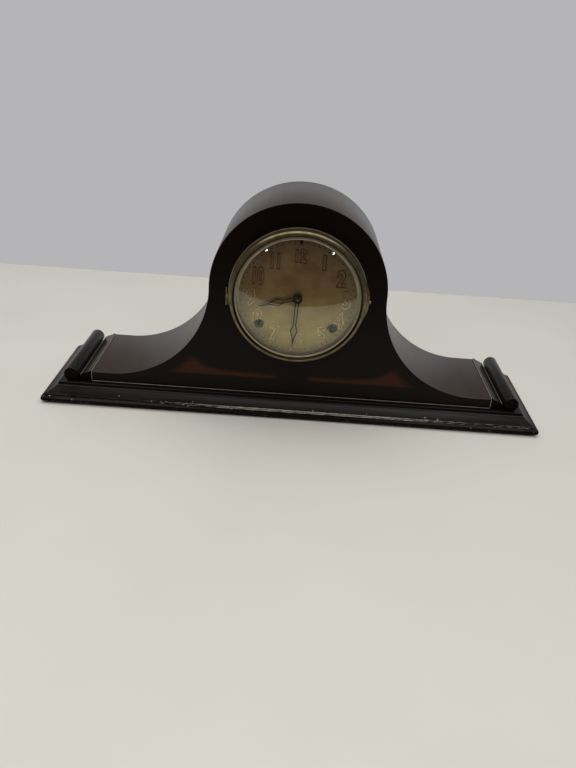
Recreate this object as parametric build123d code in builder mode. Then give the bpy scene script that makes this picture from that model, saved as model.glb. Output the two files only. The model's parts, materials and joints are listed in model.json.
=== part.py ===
from build123d import *
import os
from math import asin, cos, degrees, radians, sin, sqrt

# A humpback mantel clock with an eight-day spring movement that strikes on a coiled gong.
# Millimetres. The origin is under the middle of the base, +X to the right, +Y to the back, +Z up.

os.makedirs("parts", exist_ok=True)

# Base plinth
BASE_LENGTH = 568.0
BASE_DEPTH = 138.0
BASE_HEIGHT = 20.5
MOULDING_INSET = 16.6
FOOT_INSET = 2.5
NOSE_HEIGHT = 5.0
NOSE_TOP = 10.4
NOSE_TOP_INSET = 4.5
COVE_TOP = 17.4
COVE_SAG = 1.4
FILLET_BATTER = 0.8

# Case
CASE_SETBACK = 23.4
CASE_DEPTH = 109.6
END_MARGIN = 53.5
TOE_LENGTH = 22.0
DOME_RADIUS = 96.3
DOME_RISE = 123.9
TOE_HEIGHT = 11.7
WRAP = 4.0
FRONT_BOARD = 10.0
BACK_BOARD = 6.0
END_MOULDING_LENGTH = 14.0
END_MOULDING_TIP = 5.5
END_BEAD = 2.6
END_BEAD_PROUD = 1.0
END_COVE_SAG = 0.8
ROLL_DIAMETER = 16.6
ROLL_FLAT = 1.0
ROLL_MARGIN = 30.0
ROLL_PROUD = 1.6
ROLL_SHORT = 2.0
ROLL_ROUND = 0.8
GLUE_BLOCK = 18.0
GLUE_BLOCK_OFFSET = 120.0
BASE_SCREW = 4.0
BASE_SCREW_HEAD = 8.0
BASE_SCREW_HEAD_DEPTH = 3.0
BASE_SCREW_LENGTH = 32.0
HEAD_RECESS = 0.4

# Dial, bezel and glass
DIAL_HEIGHT = 120.0
DIAL_RADIUS = 66.8
DIAL_SHEET = 0.8
DIAL_PROUD = 4.0
DIAL_OPENING = 64.5
PAN_WALL = 2.0
PAN_FLANGE = 1.2
PAN_FLANGE_WIDTH = 8.4
PAN_SCREW = 2.0
PAN_SCREW_HEAD = 3.6
PAN_SCREW_HEAD_DEPTH = 0.6
PAN_SCREW_GRIP = 7.0
PAN_SCREW_INSET = 3.7
BEZEL_INSET = 1.2
BEZEL_LIP_REACH = 1.4
BEZEL_PROUD = 11.0
BEZEL_OUTER_ROUND = 3.5
BEZEL_INNER_ROUND = 2.0
BEZEL_WALL = 6.6
BEZEL_LIP = 1.0
GLASS = 1.6
GLASS_SAGITTA = 14.0
RETAINER = 0.8
HINGE_DROP = 3.5
HINGE_LENGTH = 20.0
HINGE_REACH = 1.2
HINGE_BARREL = 2.2
HINGE_PIN = 1.0
HINGE_LEAF = 1.0
PULL_ARC = 13.0
PULL_REACH = 2.6
PULL_SHEET = 1.4
PULL_KNOB = 3.4
PULL_KNOB_REACH = 5.6

# Hands
HOUR_HAND_LENGTH = 43.7
HOUR_HAND_BEARING = 194.8
HOUR_DIAMOND = 22.0
MINUTE_HAND_LENGTH = 56.0
MINUTE_HAND_BEARING = 267.4
MINUTE_DIAMOND = 37.0
HAND_SHEET = 0.7
HAND_BAR = 1.3
HAND_DIAMOND_HALF = 3.6
HAND_BOSS = 10.6
HAND_ROOT_SPREAD = 25.0
HOUR_PIPE = 6.2
CANNON_PIPE = 4.2
HOUR_HAND_LIFT = 2.6
MINUTE_HAND_LIFT = 4.6
HAND_NUT = 5.6
HAND_NUT_HEIGHT = 2.0

# Movement frame; places are (x, z) from the centre arbor, and a window is its place and its size
MOVEMENT_SETBACK = 11.6
PLATE = 2.0
PLATE_GAP = 36.0
PLATE_BELOW = 64.0
PLATE_ABOVE = 56.0
PLATE_CORNER = 12.0
PLATE_EAR_WIDTH = 24.0
PLATE_EAR = 10.0
LOWER_WINDOW = ((0.0, -51.0), (36.0, 14.0))
RIGHT_WINDOW = ((38.0, 22.0), (24.0, 30.0))
LEFT_WINDOW = ((-21.0, -6.0), (18.0, 18.0))
PILLAR = 7.0
PILLAR_STUD = 4.0
PILLAR_NUT = 6.6
PILLAR_NUT_HEIGHT = 3.0
PILLAR_INSET = 8.0
UPPER_PILLAR_SPREAD = 56.0
UPPER_PILLAR_RISE = 44.0
POST = 7.0
POST_SHANK = 3.0
POST_GRIP = 7.0
POST_HEAD = 6.0
POST_HEAD_HEIGHT = 1.6
LOWER_POST = (64.0, -40.0)
UPPER_POST = (62.0, 30.0)

# Wheel work: a wheel tooth and a pinion leaf, each as (height in modules, share of the pitch);
# the escape wheel's tip, face and heel are shares of its pitch
WHEEL_TOOTH = ((-1.2, -0.24), (0.8, -0.07), (0.8, 0.07), (-1.2, 0.24))
PINION_LEAF = ((-1.25, -0.17), (0.6, -0.10), (0.6, 0.10), (-1.25, 0.17))
ARBOR = 1.9
PIVOT = 1.4
MINUTE_STUD = 2.4
CENTRE_ARBOR = 2.6
SPOKE = 3.0
RIM = 2.0
HUB = 8.0
GREAT_TEETH = 64
GREAT_MODULE = 0.8
GREAT_PINION = 8
SECOND_TEETH = 48
SECOND_MODULE = 0.65
CENTRE_PINION = 32
CENTRE_TEETH = 80
CENTRE_MODULE = 0.5
THIRD_PINION = 8
THIRD_TEETH = 84
THIRD_MODULE = 0.45
ESCAPE_PINION = 7
ESCAPE_TEETH = 42
ESCAPE_RADIUS = 15.0
ESCAPE_TOOTH = 2.8
ESCAPE_TIP = 0.06
ESCAPE_FACE = 0.2
ESCAPE_HEEL = 0.3
STRIKE_SECOND_TEETH = 72
STRIKE_SECOND_MODULE = 0.5
PIN_PINION = 8
PIN_TEETH = 70
PIN_MODULE = 0.45
FLY_PINION = 7
MOTION_DISTANCE = 18.0
CANNON_TEETH = 12
MINUTE_TEETH = 36
MINUTE_PINION = 10
HOUR_TEETH = 40
WHEEL_SHEET = 1.4
GREAT_SHEET = 2.0

# Bearings from one arbor to the next, in degrees from +X towards +Z
CENTRE_TO_SECOND = -59.64
SECOND_TO_GREAT = -20.04
CENTRE_TO_THIRD = 50.0
THIRD_TO_ESCAPE = 133.6
GREAT_TO_STRIKE_SECOND = 100.0
STRIKE_SECOND_TO_PIN = 70.0
PIN_TO_FLY = 45.0
CENTRE_TO_MINUTE = 100.0

# Depth of each layer of wheels behind the front plate
GREAT_LAYER = 4.0
THIRD_LAYER = 11.5
PIN_LAYER = 14.0
FLY_LAYER = 19.0
CENTRE_LAYER = 21.8
CAM_LAYER = 26.0
SECOND_LAYER = 30.0
ESCAPE_LAYER = 32.5

# Winding, escapement and strike
WINDING_ARBOR = 5.0
WINDING_SQUARE = 3.6
WINDING_HOLE = 9.4
RATCHET_TEETH = 24
RATCHET_RADIUS = 9.0
RATCHET_TOOTH = 1.6
RATCHET_SHEET = 2.0
CLICK_OFFSET = 15.0
CLICK_STUD = 2.2
CLICK_EYE = 5.2
CLICK_NOSE_BEARING = 45.0
CLICK_NOSE = 1.2
SPRING_RADIUS = 25.65
SPRING_TURNS = 7
SPRING_STRIP = 0.6
SPRING_WIDTH = 18.0
VERGE_RISE = 19.0
PALLET_PITCHES = 3.75
PALLET = 0.5
PALLET_DEPTH = 2.2
VERGE_SHEET = 1.6
VERGE_HUB = 5.6
CRUTCH_LENGTH = 28.0
CRUTCH = 1.4
CRUTCH_SHEET = 1.2
CRUTCH_SETBACK = 4.0
PENDULUM_SETBACK = 12.0
PENDULUM_LENGTH = 127.0
PENDULUM_ROD = 2.0
BOB_DIAMETER = 38.0
BOB_THICKNESS = 8.0
BOB_EDGE = 2.0
SUSPENSION_LENGTH = 14.0
SUSPENSION_WIDTH = 5.0
SUSPENSION_STRIP = 0.3
REGULATOR_INSET = 5.8
REGULATOR = 2.4
REGULATOR_HOLE = 4.0
COUNT_RADIUS = 18.0
COUNT_NOTCH = 2.4
COUNT_NOTCHES = 12
COUNT_SHEET = 1.2
LEVER_PLACE = (-10.0, -38.0)
LEVER_BAR = 1.8
LIFT_CAM = 4.5
LIFT_CAM_FLAT = 2.4
HAMMER_PLACE = (-63.0, 14.0)
HAMMER_WIRE = 2.2
HAMMER_HEAD = 8.0
HAMMER_HEAD_LENGTH = 10.0
HAMMER_GAP = 2.0
PIN_CIRCLE = 12.0
LIFT_PIN = 1.6
LIFT_PINS = 8
LIFT_PIN_LENGTH = 2.4
FLY_SPAN = 20.0
FLY_WIDTH = 11.0
FLY_SHEET = 0.6
GONG_X = 6.0
GONG_RADIUS = 30.0
GONG_RISE = 42.0
GONG_WIRE = 2.4
GONG_GAP = 1.2
GONG_TURNS = 4
GONG_SETBACK = 28.0
GONG_BLOCK = 14.0
GONG_BLOCK_HEIGHT = 13.5

# Back door
DOOR_HALF_WIDTH = 62.0
DOOR_BOTTOM = 26.5
DOOR_ARCH_RISE = 119.5
DOOR = 5.0
DOOR_CLEARANCE = 0.5
DOOR_HINGE_LENGTH = 24.0
DOOR_HINGE_LEAF = 0.8
DOOR_HINGE_REACH = 9.0
DOOR_BARREL = 3.2
DOOR_PIN = 1.5
DOOR_HINGE_SPREAD = 34.0
DOOR_KNOB = 9.0
DOOR_KNOB_PROUD = 4.0

# Fits
RUNNING = 0.05
AIR = 0.3

front_y = -BASE_DEPTH / 2 + CASE_SETBACK
back_y = front_y + CASE_DEPTH
board_y = front_y + FRONT_BOARD
back_board_y = back_y - BACK_BOARD
dome_z = BASE_HEIGHT + DOME_RISE
toe_z = BASE_HEIGHT + TOE_HEIGHT
case_end = BASE_LENGTH / 2 - END_MARGIN
shoulder_x = case_end - TOE_LENGTH
shoulder_width = shoulder_x - DOME_RADIUS
shoulder_height = dome_z - toe_z
dial_z = BASE_HEIGHT + DIAL_HEIGHT
dial_y = front_y - DIAL_PROUD
plate_y = board_y + MOVEMENT_SETBACK
inner_y = plate_y + PLATE
rear_plate_y = inner_y + PLATE_GAP
rear_y = rear_plate_y + PLATE
pan_radius = DIAL_RADIUS + PAN_FLANGE_WIDTH
bezel_radius = pan_radius - BEZEL_INSET
bezel_inner = bezel_radius - BEZEL_WALL
lip_radius = bezel_inner - BEZEL_LIP_REACH
dial_axis = Axis((0, 0, dial_z), (0, 1, 0))


def keep(builder, name):
    """Label a finished piece and write it under its node name."""
    builder.part.label = name
    export_step(builder.part, f"parts/{name}.step")


def facing(y):
    """A plane at depth y that faces the front, with X to the right and Z up."""
    return Plane((0, y, 0), x_dir=(1, 0, 0), z_dir=(0, -1, 0))


def step(start, distance, bearing):
    """The point (x, z) at a distance and bearing from start."""
    angle = radians(bearing)
    return (start[0] + distance * cos(angle), start[1] + distance * sin(angle))


def rod(centre, diameter, front, back, mode=Mode.ADD):
    """A round bar, or a round hole, along Y at centre (x, z)."""
    with BuildSketch(facing(back)) as round_bar:
        with Locations(centre):
            Circle(diameter / 2)
    extrude(round_bar.sketch, amount=back - front, mode=mode)


def bar(start, end, start_width, end_width, front, back):
    """A flat tapered bar in the XZ plane between two points (x, z)."""
    along = Vector(end[0] - start[0], end[1] - start[1]).normalized()
    across = Vector(-along.Y, along.X)
    corners = []
    for place, half in ((start, start_width / 2), (end, end_width / 2)):
        for side in (1, -1) if place is start else (-1, 1):
            corners.append((place[0] + side * half * across.X, place[1] + side * half * across.Y))
    with BuildSketch(facing(back)) as flat_bar:
        with BuildLine():
            Polyline(*corners, close=True)
        make_face()
    extrude(flat_bar.sketch, amount=back - front)


def block(low, high, mode=Mode.ADD):
    """A box between two opposite corners."""
    size = [top - bottom for bottom, top in zip(low, high)]
    with Locations(tuple((bottom + top) / 2 for bottom, top in zip(low, high))):
        Box(*size, mode=mode)


def gear(centre, teeth, module, tooth_at, front, back, tooth=WHEEL_TOOTH):
    """A toothed disc along Y with one tooth at the bearing tooth_at, crossed out where it is large enough."""
    pitch = 360 / teeth
    pitch_radius = teeth * module / 2
    points = []
    for number in range(teeth):
        for height, share in tooth:
            points.append(step(centre, pitch_radius + height * module, tooth_at + (number + share) * pitch))
    window = pitch_radius + tooth[0][0] * module - RIM
    with BuildSketch(facing(back)) as toothed:
        with BuildLine():
            Polyline(*points, close=True)
        make_face()
        if window > HUB:
            with Locations(centre):
                Circle(window, mode=Mode.SUBTRACT)
                Circle(HUB / 2)
                Rectangle(2 * window + RIM, SPOKE)
                Rectangle(SPOKE, 2 * window + RIM)
    extrude(toothed.sketch, amount=back - front)


def spacing(wheel_teeth, pinion_leaves, module):
    """Centre distance of a wheel and the pinion that it drives."""
    return module * (wheel_teeth + pinion_leaves) / 2


def gap_at(bearing, leaves):
    """Where a pinion has a leaf, so that a gap faces the wheel that lies at the bearing's far end."""
    return bearing + 180 + 180 / leaves


def arbor(centre, front=None, back=None):
    """A shouldered arbor with a pivot through each plate."""
    rod(centre, ARBOR, inner_y + AIR, rear_plate_y - AIR)
    rod(centre, PIVOT, plate_y if front is None else front, rear_y if back is None else back)


def case_slab(inset, front, back, mode=Mode.ADD):
    """A slab with the humpback outline of the case, drawn in by inset."""
    width, height = shoulder_width + inset, shoulder_height + inset
    with BuildSketch(facing(back)) as humpback:
        with BuildLine():
            Polyline((-shoulder_x, toe_z - inset), (-case_end, toe_z - inset), (-case_end, BASE_HEIGHT),
                     (case_end, BASE_HEIGHT), (case_end, toe_z - inset), (shoulder_x, toe_z - inset))
            EllipticalCenterArc((shoulder_x, dome_z), width, height, 180, arc_size=90)
            CenterArc((0, dome_z), DOME_RADIUS - inset, 0, 180)
            EllipticalCenterArc((-shoulder_x, dome_z), width, height, 270, arc_size=90)
        make_face()
    extrude(humpback.sketch, amount=back - front, mode=mode)


# Places of the arbors, worked out from the centre arbor by the wheels that mesh
centre_at = (0.0, dial_z)
second_at = step(centre_at, spacing(SECOND_TEETH, CENTRE_PINION, SECOND_MODULE), CENTRE_TO_SECOND)
time_at = step(second_at, spacing(GREAT_TEETH, GREAT_PINION, GREAT_MODULE), SECOND_TO_GREAT)
third_at = step(centre_at, spacing(CENTRE_TEETH, THIRD_PINION, CENTRE_MODULE), CENTRE_TO_THIRD)
escape_at = step(third_at, spacing(THIRD_TEETH, ESCAPE_PINION, THIRD_MODULE), THIRD_TO_ESCAPE)
verge_at = (escape_at[0], escape_at[1] + VERGE_RISE)
minute_at = step(centre_at, MOTION_DISTANCE, CENTRE_TO_MINUTE)
strike_at = (-time_at[0], time_at[1])
strike_second_at = step(strike_at, spacing(GREAT_TEETH, GREAT_PINION, GREAT_MODULE), GREAT_TO_STRIKE_SECOND)
pin_at = step(strike_second_at, spacing(STRIKE_SECOND_TEETH, PIN_PINION, STRIKE_SECOND_MODULE),
              STRIKE_SECOND_TO_PIN)
fly_at = step(pin_at, spacing(PIN_TEETH, FLY_PINION, PIN_MODULE), PIN_TO_FLY)
regulator_at = (0.0, dial_z + DIAL_RADIUS - REGULATOR_INSET)
lever_at = (LEVER_PLACE[0], dial_z + LEVER_PLACE[1])
hammer_at = (HAMMER_PLACE[0], dial_z + HAMMER_PLACE[1])

pillar_x = time_at[0] + SPRING_RADIUS - (PILLAR + SPRING_STRIP) / 2 - RUNNING
plate_width = 2 * (pillar_x + PILLAR_INSET)
pillar_places = [(side * pillar_x, dial_z - PLATE_BELOW + PILLAR_INSET) for side in (-1, 1)]
pillar_places += [(side * UPPER_PILLAR_SPREAD, dial_z + UPPER_PILLAR_RISE) for side in (-1, 1)]
post_places = [(side * x, dial_z + z) for x, z in (LOWER_POST, UPPER_POST) for side in (-1, 1)]
train_places = [second_at, third_at, escape_at, strike_second_at, pin_at, fly_at, lever_at, hammer_at]
pan_screw_places = [step(centre_at, pan_radius - PAN_SCREW_INSET, 45 + quarter * 90) for quarter in range(4)]
glue_block_faces = (board_y, back_board_y - GLUE_BLOCK)
base_screw_places = [(side * GLUE_BLOCK_OFFSET, face + GLUE_BLOCK / 2)
                     for side in (-1, 1) for face in glue_block_faces]


def moulded_edge(nose, inward):
    """The profile of one moulded edge of the base, from the foot up to the top arris."""
    foot = (nose + inward * FOOT_INSET, 0)
    crest = (nose, NOSE_HEIGHT)
    nose_top = (nose + inward * NOSE_TOP_INSET, NOSE_TOP)
    cove_top = (nose + inward * (MOULDING_INSET - FILLET_BATTER), COVE_TOP)
    cove_low = ((nose_top[0] + cove_top[0]) / 2, (nose_top[1] + cove_top[1]) / 2 - COVE_SAG)
    ThreePointArc(foot, crest, nose_top)
    ThreePointArc(nose_top, cove_low, cove_top)
    Line(cove_top, (nose + inward * MOULDING_INSET, BASE_HEIGHT))


# Base plinth: a plank whose front and two ends carry the same moulding, mitred at the corners
half_length = BASE_LENGTH / 2
half_depth = BASE_DEPTH / 2
with BuildPart() as base_plinth:
    with BuildSketch(Plane.YZ.offset(-half_length)) as front_profile:
        with BuildLine() as front_lines:
            moulded_edge(-half_depth, 1)
            Polyline((-half_depth + MOULDING_INSET, BASE_HEIGHT), (half_depth, BASE_HEIGHT),
                     (half_depth, 0), (-half_depth + FOOT_INSET, 0))
        make_face()
    extrude(amount=BASE_LENGTH)
    with BuildSketch(facing(half_depth)) as end_profile:
        with BuildLine() as end_lines:
            moulded_edge(-half_length, 1)
            Line((-half_length + MOULDING_INSET, BASE_HEIGHT), (half_length - MOULDING_INSET, BASE_HEIGHT))
            moulded_edge(half_length, -1)
            Line((half_length - FOOT_INSET, 0), (-half_length + FOOT_INSET, 0))
        make_face()
    extrude(amount=BASE_DEPTH, mode=Mode.INTERSECT)
    with Locations([(x, y, 0) for x, y in base_screw_places]):
        Cylinder(BASE_SCREW / 2, 2 * BASE_HEIGHT, mode=Mode.SUBTRACT)
        Cylinder(BASE_SCREW_HEAD / 2, 2 * (BASE_SCREW_HEAD_DEPTH + HEAD_RECESS), mode=Mode.SUBTRACT)
keep(base_plinth, "base_plinth")

# Bent wrap: one thin sheet over the hump and both shoulders, from front to back
with BuildPart() as top_wrap:
    case_slab(0, front_y, back_y)
    case_slab(WRAP, front_y, back_y, Mode.SUBTRACT)
keep(top_wrap, "top_wrap")

# Front board: fills the wrap flush with its front edge and carries the dial and the movement
with BuildPart() as front_board:
    case_slab(WRAP, front_y, board_y)
    rod(centre_at, 2 * DIAL_OPENING, front_y, board_y, Mode.SUBTRACT)
    for place in pan_screw_places:
        rod(place, PAN_SCREW, front_y, front_y + PAN_SCREW_GRIP, Mode.SUBTRACT)
    for place in post_places:
        rod(place, POST_SHANK, board_y - POST_GRIP, board_y, Mode.SUBTRACT)
keep(front_board, "front_board")


def door_slab(inset, front, back, mode=Mode.ADD):
    """The arched outline of the back door, drawn in by inset."""
    half = DOOR_HALF_WIDTH - inset
    low = BASE_HEIGHT + DOOR_BOTTOM + inset
    spring_line = BASE_HEIGHT + DOOR_ARCH_RISE
    with BuildSketch(facing(back)) as arched:
        with BuildLine():
            Polyline((-half, spring_line), (-half, low), (half, low), (half, spring_line))
            CenterArc((0, spring_line), half, 0, 180)
        make_face()
    extrude(arched.sketch, amount=back - front, mode=mode)


# Back board with the arched opening of the door
with BuildPart() as back_board:
    case_slab(WRAP, back_board_y, back_y)
    door_slab(0, back_board_y, back_y, Mode.SUBTRACT)
keep(back_board, "back_board")

# Back door
with BuildPart() as back_door:
    door_slab(DOOR_CLEARANCE, back_y - DOOR, back_y)
keep(back_door, "back_door")

# Door hinges: surface leaves with a barrel at the edge of the opening, two above each other
door_axis_x = DOOR_HALF_WIDTH - DOOR_CLEARANCE / 2
door_axis_y = back_y + DOOR_BARREL / 2
door_hinge_z = BASE_HEIGHT + (DOOR_BOTTOM + DOOR_ARCH_RISE) / 2
knuckle = DOOR_HINGE_LENGTH / 3
door_hinge_places = [door_hinge_z - DOOR_HINGE_SPREAD, door_hinge_z + DOOR_HINGE_SPREAD]


def upright(x, y, diameter, low, high, mode=Mode.ADD):
    """A round bar, or a round hole, along Z."""
    with BuildSketch(Plane.XY.offset(low)) as round_bar:
        with Locations((x, y)):
            Circle(diameter / 2)
    extrude(round_bar.sketch, amount=high - low, mode=mode)


with BuildPart() as door_hinges:
    for middle in door_hinge_places:
        low, high = middle - DOOR_HINGE_LENGTH / 2, middle + DOOR_HINGE_LENGTH / 2
        for bottom, top in ((low, low + knuckle), (high - knuckle, high)):
            block((door_axis_x, back_y, bottom),
                  (door_axis_x + DOOR_HINGE_REACH, back_y + DOOR_HINGE_LEAF, top))
            upright(door_axis_x, door_axis_y, DOOR_BARREL, bottom, top)
        block((door_axis_x + DOOR_BARREL, back_y, low),
              (door_axis_x + DOOR_HINGE_REACH, back_y + DOOR_HINGE_LEAF, high))
        upright(door_axis_x, door_axis_y, DOOR_PIN, low, high)
keep(door_hinges, "door_hinges")

with BuildPart() as door_hinge_leaves:
    for middle in door_hinge_places:
        bottom, top = middle - knuckle / 2 + AIR, middle + knuckle / 2 - AIR
        block((door_axis_x - DOOR_HINGE_REACH, back_y, bottom), (door_axis_x, back_y + DOOR_HINGE_LEAF, top))
        upright(door_axis_x, door_axis_y, DOOR_BARREL, bottom, top)
        upright(door_axis_x, door_axis_y, DOOR_PIN + 2 * RUNNING, bottom, top, Mode.SUBTRACT)
keep(door_hinge_leaves, "door_hinge_leaves")

# Door knob: a small turned button at the free edge
with BuildPart() as door_knob:
    rod((-DOOR_HALF_WIDTH + 2 * DOOR_KNOB, door_hinge_z), DOOR_KNOB, back_y, back_y + DOOR_KNOB_PROUD)
    fillet(door_knob.faces().sort_by(Axis.Y)[-1].edges(), DOOR_KNOB_PROUD / 3)
keep(door_knob, "door_knob")

# End mouldings: a bead against the toe of the wrap, then a hollow slope down to a low tip; a roll beyond it
roll_x = BASE_LENGTH / 2 - ROLL_MARGIN
for side, name in ((-1, "left"), (1, "right")):
    start = side * case_end
    tip = start + side * END_MOULDING_LENGTH
    bead_end = start + side * END_BEAD
    bead_top = toe_z + END_BEAD_PROUD
    tip_top = BASE_HEIGHT + END_MOULDING_TIP
    slope_middle = ((bead_end + tip) / 2, (toe_z + tip_top) / 2 - END_COVE_SAG)
    with BuildPart() as end_moulding:
        with BuildSketch(facing(back_y)):
            with BuildLine():
                Polyline((bead_end, toe_z), (bead_end, bead_top), (start, bead_top), (start, BASE_HEIGHT),
                         (tip, BASE_HEIGHT), (tip, tip_top))
                ThreePointArc((tip, tip_top), slope_middle, (bead_end, toe_z))
            make_face()
        extrude(amount=CASE_DEPTH)
    keep(end_moulding, f"end_moulding_{name}")

    roll_z = BASE_HEIGHT + ROLL_DIAMETER / 2 - ROLL_FLAT
    with BuildPart() as end_roll:
        rod((side * roll_x, roll_z), ROLL_DIAMETER, front_y - ROLL_PROUD, back_y - ROLL_SHORT)
        fillet(end_roll.edges().filter_by(GeomType.CIRCLE), ROLL_ROUND)
        split(bisect_by=Plane.XY.offset(BASE_HEIGHT))
    keep(end_roll, f"end_roll_{name}")

# Glue blocks behind the boards, and the wood screws that pull the base up to them
with BuildPart() as glue_blocks:
    for side in (-1, 1):
        middle = side * GLUE_BLOCK_OFFSET
        for face in glue_block_faces:
            block((middle - GLUE_BLOCK / 2, face, BASE_HEIGHT),
                  (middle + GLUE_BLOCK / 2, face + GLUE_BLOCK, BASE_HEIGHT + GLUE_BLOCK))
    for x, y in base_screw_places:
        upright(x, y, BASE_SCREW, BASE_HEIGHT, BASE_SCREW_LENGTH + HEAD_RECESS, Mode.SUBTRACT)
keep(glue_blocks, "glue_blocks")

with BuildPart() as base_screws:
    for x, y in base_screw_places:
        upright(x, y, BASE_SCREW_HEAD, HEAD_RECESS, HEAD_RECESS + BASE_SCREW_HEAD_DEPTH)
        upright(x, y, BASE_SCREW, HEAD_RECESS, HEAD_RECESS + BASE_SCREW_LENGTH)
keep(base_screws, "base_screws")

# Dial pan: a flange on the front board and a low drum that lifts the dial off it
with BuildPart() as dial_pan:
    rod(centre_at, 2 * pan_radius, front_y - PAN_FLANGE, front_y)
    rod(centre_at, 2 * DIAL_RADIUS, dial_y + DIAL_SHEET, front_y)
    rod(centre_at, 2 * (DIAL_RADIUS - PAN_WALL), dial_y, front_y, Mode.SUBTRACT)
    for place in pan_screw_places:
        rod(place, PAN_SCREW, front_y - PAN_FLANGE, front_y, Mode.SUBTRACT)
        rod(place, PAN_SCREW_HEAD, front_y - PAN_FLANGE, front_y - PAN_FLANGE + PAN_SCREW_HEAD_DEPTH,
            Mode.SUBTRACT)
keep(dial_pan, "dial_pan")

with BuildPart() as dial_screws:
    for place in pan_screw_places:
        rod(place, PAN_SCREW_HEAD, front_y - PAN_FLANGE, front_y - PAN_FLANGE + PAN_SCREW_HEAD_DEPTH)
        rod(place, PAN_SCREW, front_y - PAN_FLANGE, front_y + PAN_SCREW_GRIP)
keep(dial_screws, "dial_screws")

# Dial plate with the holes for the hands, the winding squares and the regulator
with BuildPart() as dial_plate:
    rod(centre_at, 2 * DIAL_RADIUS, dial_y, dial_y + DIAL_SHEET)
    rod(centre_at, HOUR_PIPE + 4 * AIR, dial_y, dial_y + DIAL_SHEET, Mode.SUBTRACT)
    rod(regulator_at, REGULATOR_HOLE, dial_y, dial_y + DIAL_SHEET, Mode.SUBTRACT)
    for place in (time_at, strike_at):
        rod(place, WINDING_HOLE, dial_y, dial_y + DIAL_SHEET, Mode.SUBTRACT)
keep(dial_plate, "dial_plate")

# Bezel ring: a rounded band with an inner lip that the glass sits behind
bezel_back = front_y - PAN_FLANGE - AIR
bezel_front = front_y - BEZEL_PROUD
crest_radius = bezel_radius - BEZEL_OUTER_ROUND
lip_front = bezel_front + BEZEL_INNER_ROUND
lip_back = lip_front + BEZEL_LIP
with BuildPart() as bezel_ring:
    with BuildSketch(Plane.XY.offset(dial_z)):
        with BuildLine():
            CenterArc((crest_radius, bezel_front + BEZEL_OUTER_ROUND), BEZEL_OUTER_ROUND, 270, 90)
            Polyline((bezel_radius, bezel_front + BEZEL_OUTER_ROUND), (bezel_radius, bezel_back),
                     (bezel_inner, bezel_back), (bezel_inner, lip_back), (lip_radius, lip_back),
                     (lip_radius, lip_front), (crest_radius - BEZEL_INNER_ROUND, lip_front))
            CenterArc((crest_radius, lip_front), BEZEL_INNER_ROUND, 180, 90)
        make_face()
    revolve(axis=dial_axis)
keep(bezel_ring, "bezel_ring")

# Convex glass behind the lip, and the flat ring that holds it in
glass_radius = bezel_inner - AIR
glass_sphere = (glass_radius ** 2 + GLASS_SAGITTA ** 2) / (2 * GLASS_SAGITTA)
glass_rim_drop = sqrt(glass_sphere ** 2 - lip_radius ** 2) - sqrt(glass_sphere ** 2 - glass_radius ** 2)
glass_rim = lip_back + glass_rim_drop
glass_edge = glass_rim + GLASS
glass_angle = degrees(asin(glass_radius / glass_sphere))
with BuildPart() as bezel_glass:
    with BuildSketch(Plane.XY.offset(dial_z)):
        with BuildLine():
            for edge_y in (glass_rim, glass_edge):
                CenterArc((0, edge_y - GLASS_SAGITTA + glass_sphere), glass_sphere, 270, glass_angle)
            Line((0, glass_rim - GLASS_SAGITTA), (0, glass_edge - GLASS_SAGITTA))
            Line((glass_radius, glass_edge), (glass_radius, glass_rim))
        make_face()
    revolve(axis=dial_axis)
keep(bezel_glass, "bezel_glass")

with BuildPart() as glass_retainer:
    rod(centre_at, 2 * bezel_inner, glass_edge, glass_edge + RETAINER)
    rod(centre_at, 2 * lip_radius, glass_edge, glass_edge + RETAINER, Mode.SUBTRACT)
keep(glass_retainer, "glass_retainer")

# Bezel hinge at the left: a fixed leaf with two knuckles and its pin, and one knuckle on the bezel
bezel_axis_x = -(pan_radius + HINGE_REACH)
bezel_axis_y = bezel_back - HINGE_BARREL / 2
hinge_low = dial_z - HINGE_DROP - HINGE_LENGTH / 2
hinge_high = hinge_low + HINGE_LENGTH
bezel_knuckle = HINGE_LENGTH / 3
with BuildPart() as bezel_hinge:
    block((bezel_axis_x - HINGE_BARREL / 2, front_y - HINGE_LEAF, hinge_low),
          (-bezel_radius, front_y, hinge_high))
    for bottom in (hinge_low, hinge_high - bezel_knuckle):
        block((bezel_axis_x - HINGE_BARREL / 2, bezel_axis_y, bottom),
              (bezel_axis_x + HINGE_BARREL / 2, front_y, bottom + bezel_knuckle))
        upright(bezel_axis_x, bezel_axis_y, HINGE_BARREL, bottom, bottom + bezel_knuckle)
    upright(bezel_axis_x, bezel_axis_y, HINGE_PIN, hinge_low, hinge_high)
    rod(centre_at, 2 * pan_radius, bezel_axis_y - HINGE_BARREL, front_y, Mode.SUBTRACT)
keep(bezel_hinge, "bezel_hinge")

with BuildPart() as bezel_hinge_arm:
    bottom = hinge_low + bezel_knuckle + AIR
    top = hinge_high - bezel_knuckle - AIR
    block((bezel_axis_x, bezel_axis_y - HINGE_BARREL / 2, bottom), (-bezel_inner, bezel_axis_y, top))
    upright(bezel_axis_x, bezel_axis_y, HINGE_BARREL, bottom, top)
    upright(bezel_axis_x, bezel_axis_y, HINGE_PIN + 2 * RUNNING, bottom, top, Mode.SUBTRACT)
    rod(centre_at, 2 * bezel_radius, bezel_axis_y - HINGE_BARREL, front_y, Mode.SUBTRACT)
keep(bezel_hinge_arm, "bezel_hinge_arm")

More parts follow.
